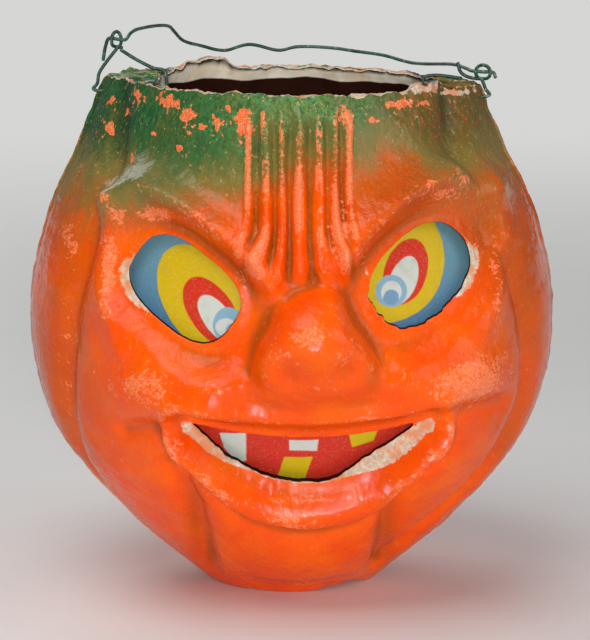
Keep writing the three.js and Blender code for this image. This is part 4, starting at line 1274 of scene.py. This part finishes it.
def wire(name, points, body, node):
    """A drawn wire with hammered dents, cut square at its ends."""
    path = smooth_path(points, STEPS_PER_SPAN)
    ahead = np.gradient(path, axis=0)
    ahead /= np.linalg.norm(ahead, axis=1, keepdims=True)
    side = np.cross(ahead[0], [0.3, 0.2, 0.9])
    rings = []
    for k, (spot, forward) in enumerate(zip(path, ahead)):
        side = side - forward * side.dot(forward)
        side = side / np.linalg.norm(side)
        other = np.cross(forward, side)
        turn = 2 * np.pi * np.arange(WIRE_SIDES) / WIRE_SIDES
        ring = spot + np.outer(np.cos(turn), side) + np.outer(np.sin(turn), other)
        radius = WIRE_RADIUS * (0.92 + 0.05 * noise(ring, 2.3, 81, 2))
        if k in (0, len(path) - 1):
            radius = radius * 0.86
        rings.append(spot + (ring - spot) * radius[:, None])
    rings = np.array(rings)
    index, faces = ring_faces(len(rings), WIRE_SIDES)
    body_points = rings.reshape(-1, 3)
    last = len(body_points)
    start, end = index[0], index[-1]
    caps = [(b, a, last) for a, b in zip(start, np.roll(start, -1))]
    caps += [(a, b, last + 1) for a, b in zip(end, np.roll(end, -1))]
    mesh = bpy.data.meshes.new(name)
    everything = np.vstack((body_points, path[:1], path[-1:])) * MM + HOME
    cells = faces.tolist() + [[int(corner) for corner in cap] for cap in caps]
    mesh.from_pydata(everything.tolist(), [], cells)
    mesh.polygons.foreach_set("use_smooth", [True] * len(faces) + [False] * len(caps))
    mesh.update()
    settle(add_object(name, mesh), body, "green_wire", WIRE, node)


wire("wire_handle", handle_points(), "handle", "bail")
wire("wire_eye_left", left_ear, "shell", "ear_left")
wire("wire_eye_right", right_ear, "shell", "ear_right")


# Candle cup and rivet, turned and a little dented
def turned(name, profile, segments, node, dent):
    profile = np.array(profile)
    turn = 2 * np.pi * np.arange(segments) / segments
    radius, height = profile[:, None, 0], profile[:, None, 1]
    points = np.stack(
        (radius * np.cos(turn), radius * np.sin(turn), np.repeat(height, segments, 1)), -1
    )
    push = dent * noise(points, 6.0, 91, 2)[..., None]
    points[..., :2] *= 1 + push / np.maximum(profile[:, None, :1], 1.0)
    thing = make_mesh(name, points.reshape(-1, 3), ring_faces(len(profile), segments)[1])
    settle(thing, "shell", "tinplate", TINPLATE, node)


def rounded(corners, radius):
    """A profile with each corner turned on a small radius."""
    corners = np.array(corners, float)
    made = [corners[0]]
    for before, at, after in zip(corners[:-2], corners[1:-1], corners[2:]):
        a, b = before - at, after - at
        la, lb = np.linalg.norm(a), np.linalg.norm(b)
        reach = min(radius, la * 0.45, lb * 0.45)
        start, end = at + a / la * reach, at + b / lb * reach
        for t in (0.0, 0.25, 0.5, 0.75, 1.0):
            made.append(start * (1 - t) ** 2 + at * 2 * t * (1 - t) + end * t * t)
    made.append(corners[-1])
    return made


CUP_RADIUS = 7.0
CUP_HEIGHT = 12.0
CUP_FLANGE_RADIUS = 11.0
TIN = 0.5
RIVET_RADIUS = 1.5
RIVET_HEAD_RADIUS = 3.4
RIVET_HEAD = 0.8
CUP_ROLL = 0.8
# The bead pressed into the cup's wall: depth, height
BEAD = ((0, 4.0), (0.25, 4.5), (0, 5.0))
cup_base = WALL + FOOT_DISH
cup_profile = [(RIVET_RADIUS, TIN), (CUP_RADIUS - TIN, TIN)]
cup_profile += [(CUP_RADIUS - TIN - depth, height) for depth, height in BEAD]
cup_profile += [(CUP_RADIUS - TIN, CUP_HEIGHT - CUP_ROLL), (CUP_RADIUS, CUP_HEIGHT)]
cup_profile += [(CUP_RADIUS + 0.5, CUP_HEIGHT - 0.2), (CUP_RADIUS, CUP_HEIGHT - CUP_ROLL)]
cup_profile += [(CUP_RADIUS - depth, height) for depth, height in BEAD[::-1]]
cup_profile += [(CUP_RADIUS, TIN), (CUP_FLANGE_RADIUS, TIN), (CUP_FLANGE_RADIUS, 0)]
cup_profile += [(RIVET_RADIUS, 0), (RIVET_RADIUS, TIN)]
cup_profile = [(radius, cup_base + height) for radius, height in cup_profile]
turned("tin_cup", rounded(cup_profile, 0.3)[::-1], 72, "candle_cup", 0.12)
rivet_top = cup_base + TIN
rivet_profile = [
    (0.01, FOOT_DISH - RIVET_HEAD - 0.4),
    (RIVET_HEAD_RADIUS * 0.7, FOOT_DISH - RIVET_HEAD - 0.3),
    (RIVET_HEAD_RADIUS, FOOT_DISH - RIVET_HEAD + 0.2),
    (RIVET_HEAD_RADIUS, FOOT_DISH),
    (RIVET_RADIUS, FOOT_DISH),
    (RIVET_RADIUS, rivet_top),
    (RIVET_HEAD_RADIUS, rivet_top),
    (RIVET_HEAD_RADIUS, rivet_top + RIVET_HEAD * 0.6),
    (RIVET_HEAD_RADIUS * 0.9, rivet_top + RIVET_HEAD),
    (0.01, rivet_top + RIVET_HEAD),
]
turned("tin_rivet", rounded(rivet_profile, 0.25), 40, "cup_rivet", 0.03)


# Stage: a wide pale floor, soft light, and the camera of the photo
FLOOR_RADIUS = 8.0
FLOOR_LOW = 0.0002
FLOOR_FADE = (0.25, 1.3)
PALE = srgb(214, 214, 212)


def stage():
    floor = Paint("pale_floor", srgb(226, 226, 224), 0.7)
    tone = floor.mix(floor.noise(0.05), srgb(224, 224, 222), srgb(229, 229, 227))
    floor.set("Base Color", tone)
    length = floor.node("VectorMath")
    length.operation = "LENGTH"
    floor.link(floor.place, length.inputs[0])
    # Far off, the floor turns into the background for the camera, mirrors and glass
    rays = floor.node("LightPath").outputs
    seen = floor.most(rays["Is Camera Ray"], rays["Is Glossy Ray"])
    seen = floor.most(seen, rays["Is Transmission Ray"])
    far = floor.times(floor.step(length.outputs["Value"], *FLOOR_FADE), seen)
    glow = floor.node("Emission")
    glow.inputs["Color"].default_value = PALE
    blend = floor.node("MixShader")
    floor.link(far, blend.inputs[0])
    floor.link(floor.shader.outputs[0], blend.inputs[1])
    floor.link(glow.outputs[0], blend.inputs[2])
    floor.link(blend.outputs[0], floor.tree.nodes["Material Output"].inputs["Surface"])
    turn = 2 * np.pi * np.arange(96) / 96
    vertices = [(FLOOR_RADIUS * math.cos(a), FLOOR_RADIUS * math.sin(a), -FLOOR_LOW) for a in turn]
    mesh = bpy.data.meshes.new("floor")
    mesh.from_pydata(vertices, [], [tuple(range(len(vertices)))])
    mesh.materials.append(floor.material)
    add_object("floor", mesh)


stage()
scene = bpy.context.scene
scene.view_settings.view_transform = "Standard"


def lamp(name, place, width, watts):
    data = bpy.data.lights.new(name, "AREA")
    data.shape = "DISK"
    data.size = width
    data.energy = watts
    thing = add_object(name, data)
    thing.location = place
    thing.rotation_euler = (MIDDLE - Vector(place)).to_track_quat("-Z", "Y").to_euler()


# Lamps: name, place, diameter in metres, watts
LAMPS = (
    ("key", (0.06, -1.4, 0.31), 0.12, 11.0),
    ("top", (-0.25, -0.35, 1.0), 0.8, 5.0),
    ("side", (0.9, -0.3, 0.5), 0.7, 2.0),
    ("back", (-0.5, 1.2, 1.0), 1.0, 6.0),
)
MIDDLE = Vector((0.0, 0.0, 0.075))
ROOM_LIGHT = 0.16
for name, place, width, watts in LAMPS:
    lamp(name, place, width, watts)
world = bpy.data.worlds.new("soft_room")
world.use_nodes = True
room = world.node_tree
soft_light = room.nodes["Background"]
soft_light.inputs["Color"].default_value = (0.9, 0.92, 0.95, 1)
soft_light.inputs["Strength"].default_value = ROOM_LIGHT
backdrop = room.nodes.new("ShaderNodeBackground")
backdrop.inputs["Color"].default_value = PALE
rays = room.nodes.new("ShaderNodeLightPath")
either = room.nodes.new("ShaderNodeMixShader")
room.links.new(rays.outputs["Is Camera Ray"], either.inputs[0])
room.links.new(soft_light.outputs[0], either.inputs[1])
room.links.new(backdrop.outputs[0], either.inputs[2])
room.links.new(either.outputs[0], room.nodes["World Output"].inputs["Surface"])
scene.world = world

ELEVATION = math.radians(10.0)
DISTANCE = 0.8
LENS = 154.2
AIM_X, AIM_Z = 0.001, 0.0755
camera = bpy.data.objects.new("camera", bpy.data.cameras.new("camera"))
camera.data.sensor_width = 36.0
camera.data.sensor_fit = "AUTO"
camera.data.lens = LENS
camera.data.clip_start = 0.01
camera.location = (
    AIM_X + HOME[0],
    HOME[1] - DISTANCE * math.cos(ELEVATION),
    AIM_Z + DISTANCE * math.sin(ELEVATION),
)
camera.rotation_euler = (math.pi / 2 - ELEVATION, 0, 0)
scene.collection.objects.link(camera)
scene.camera = camera
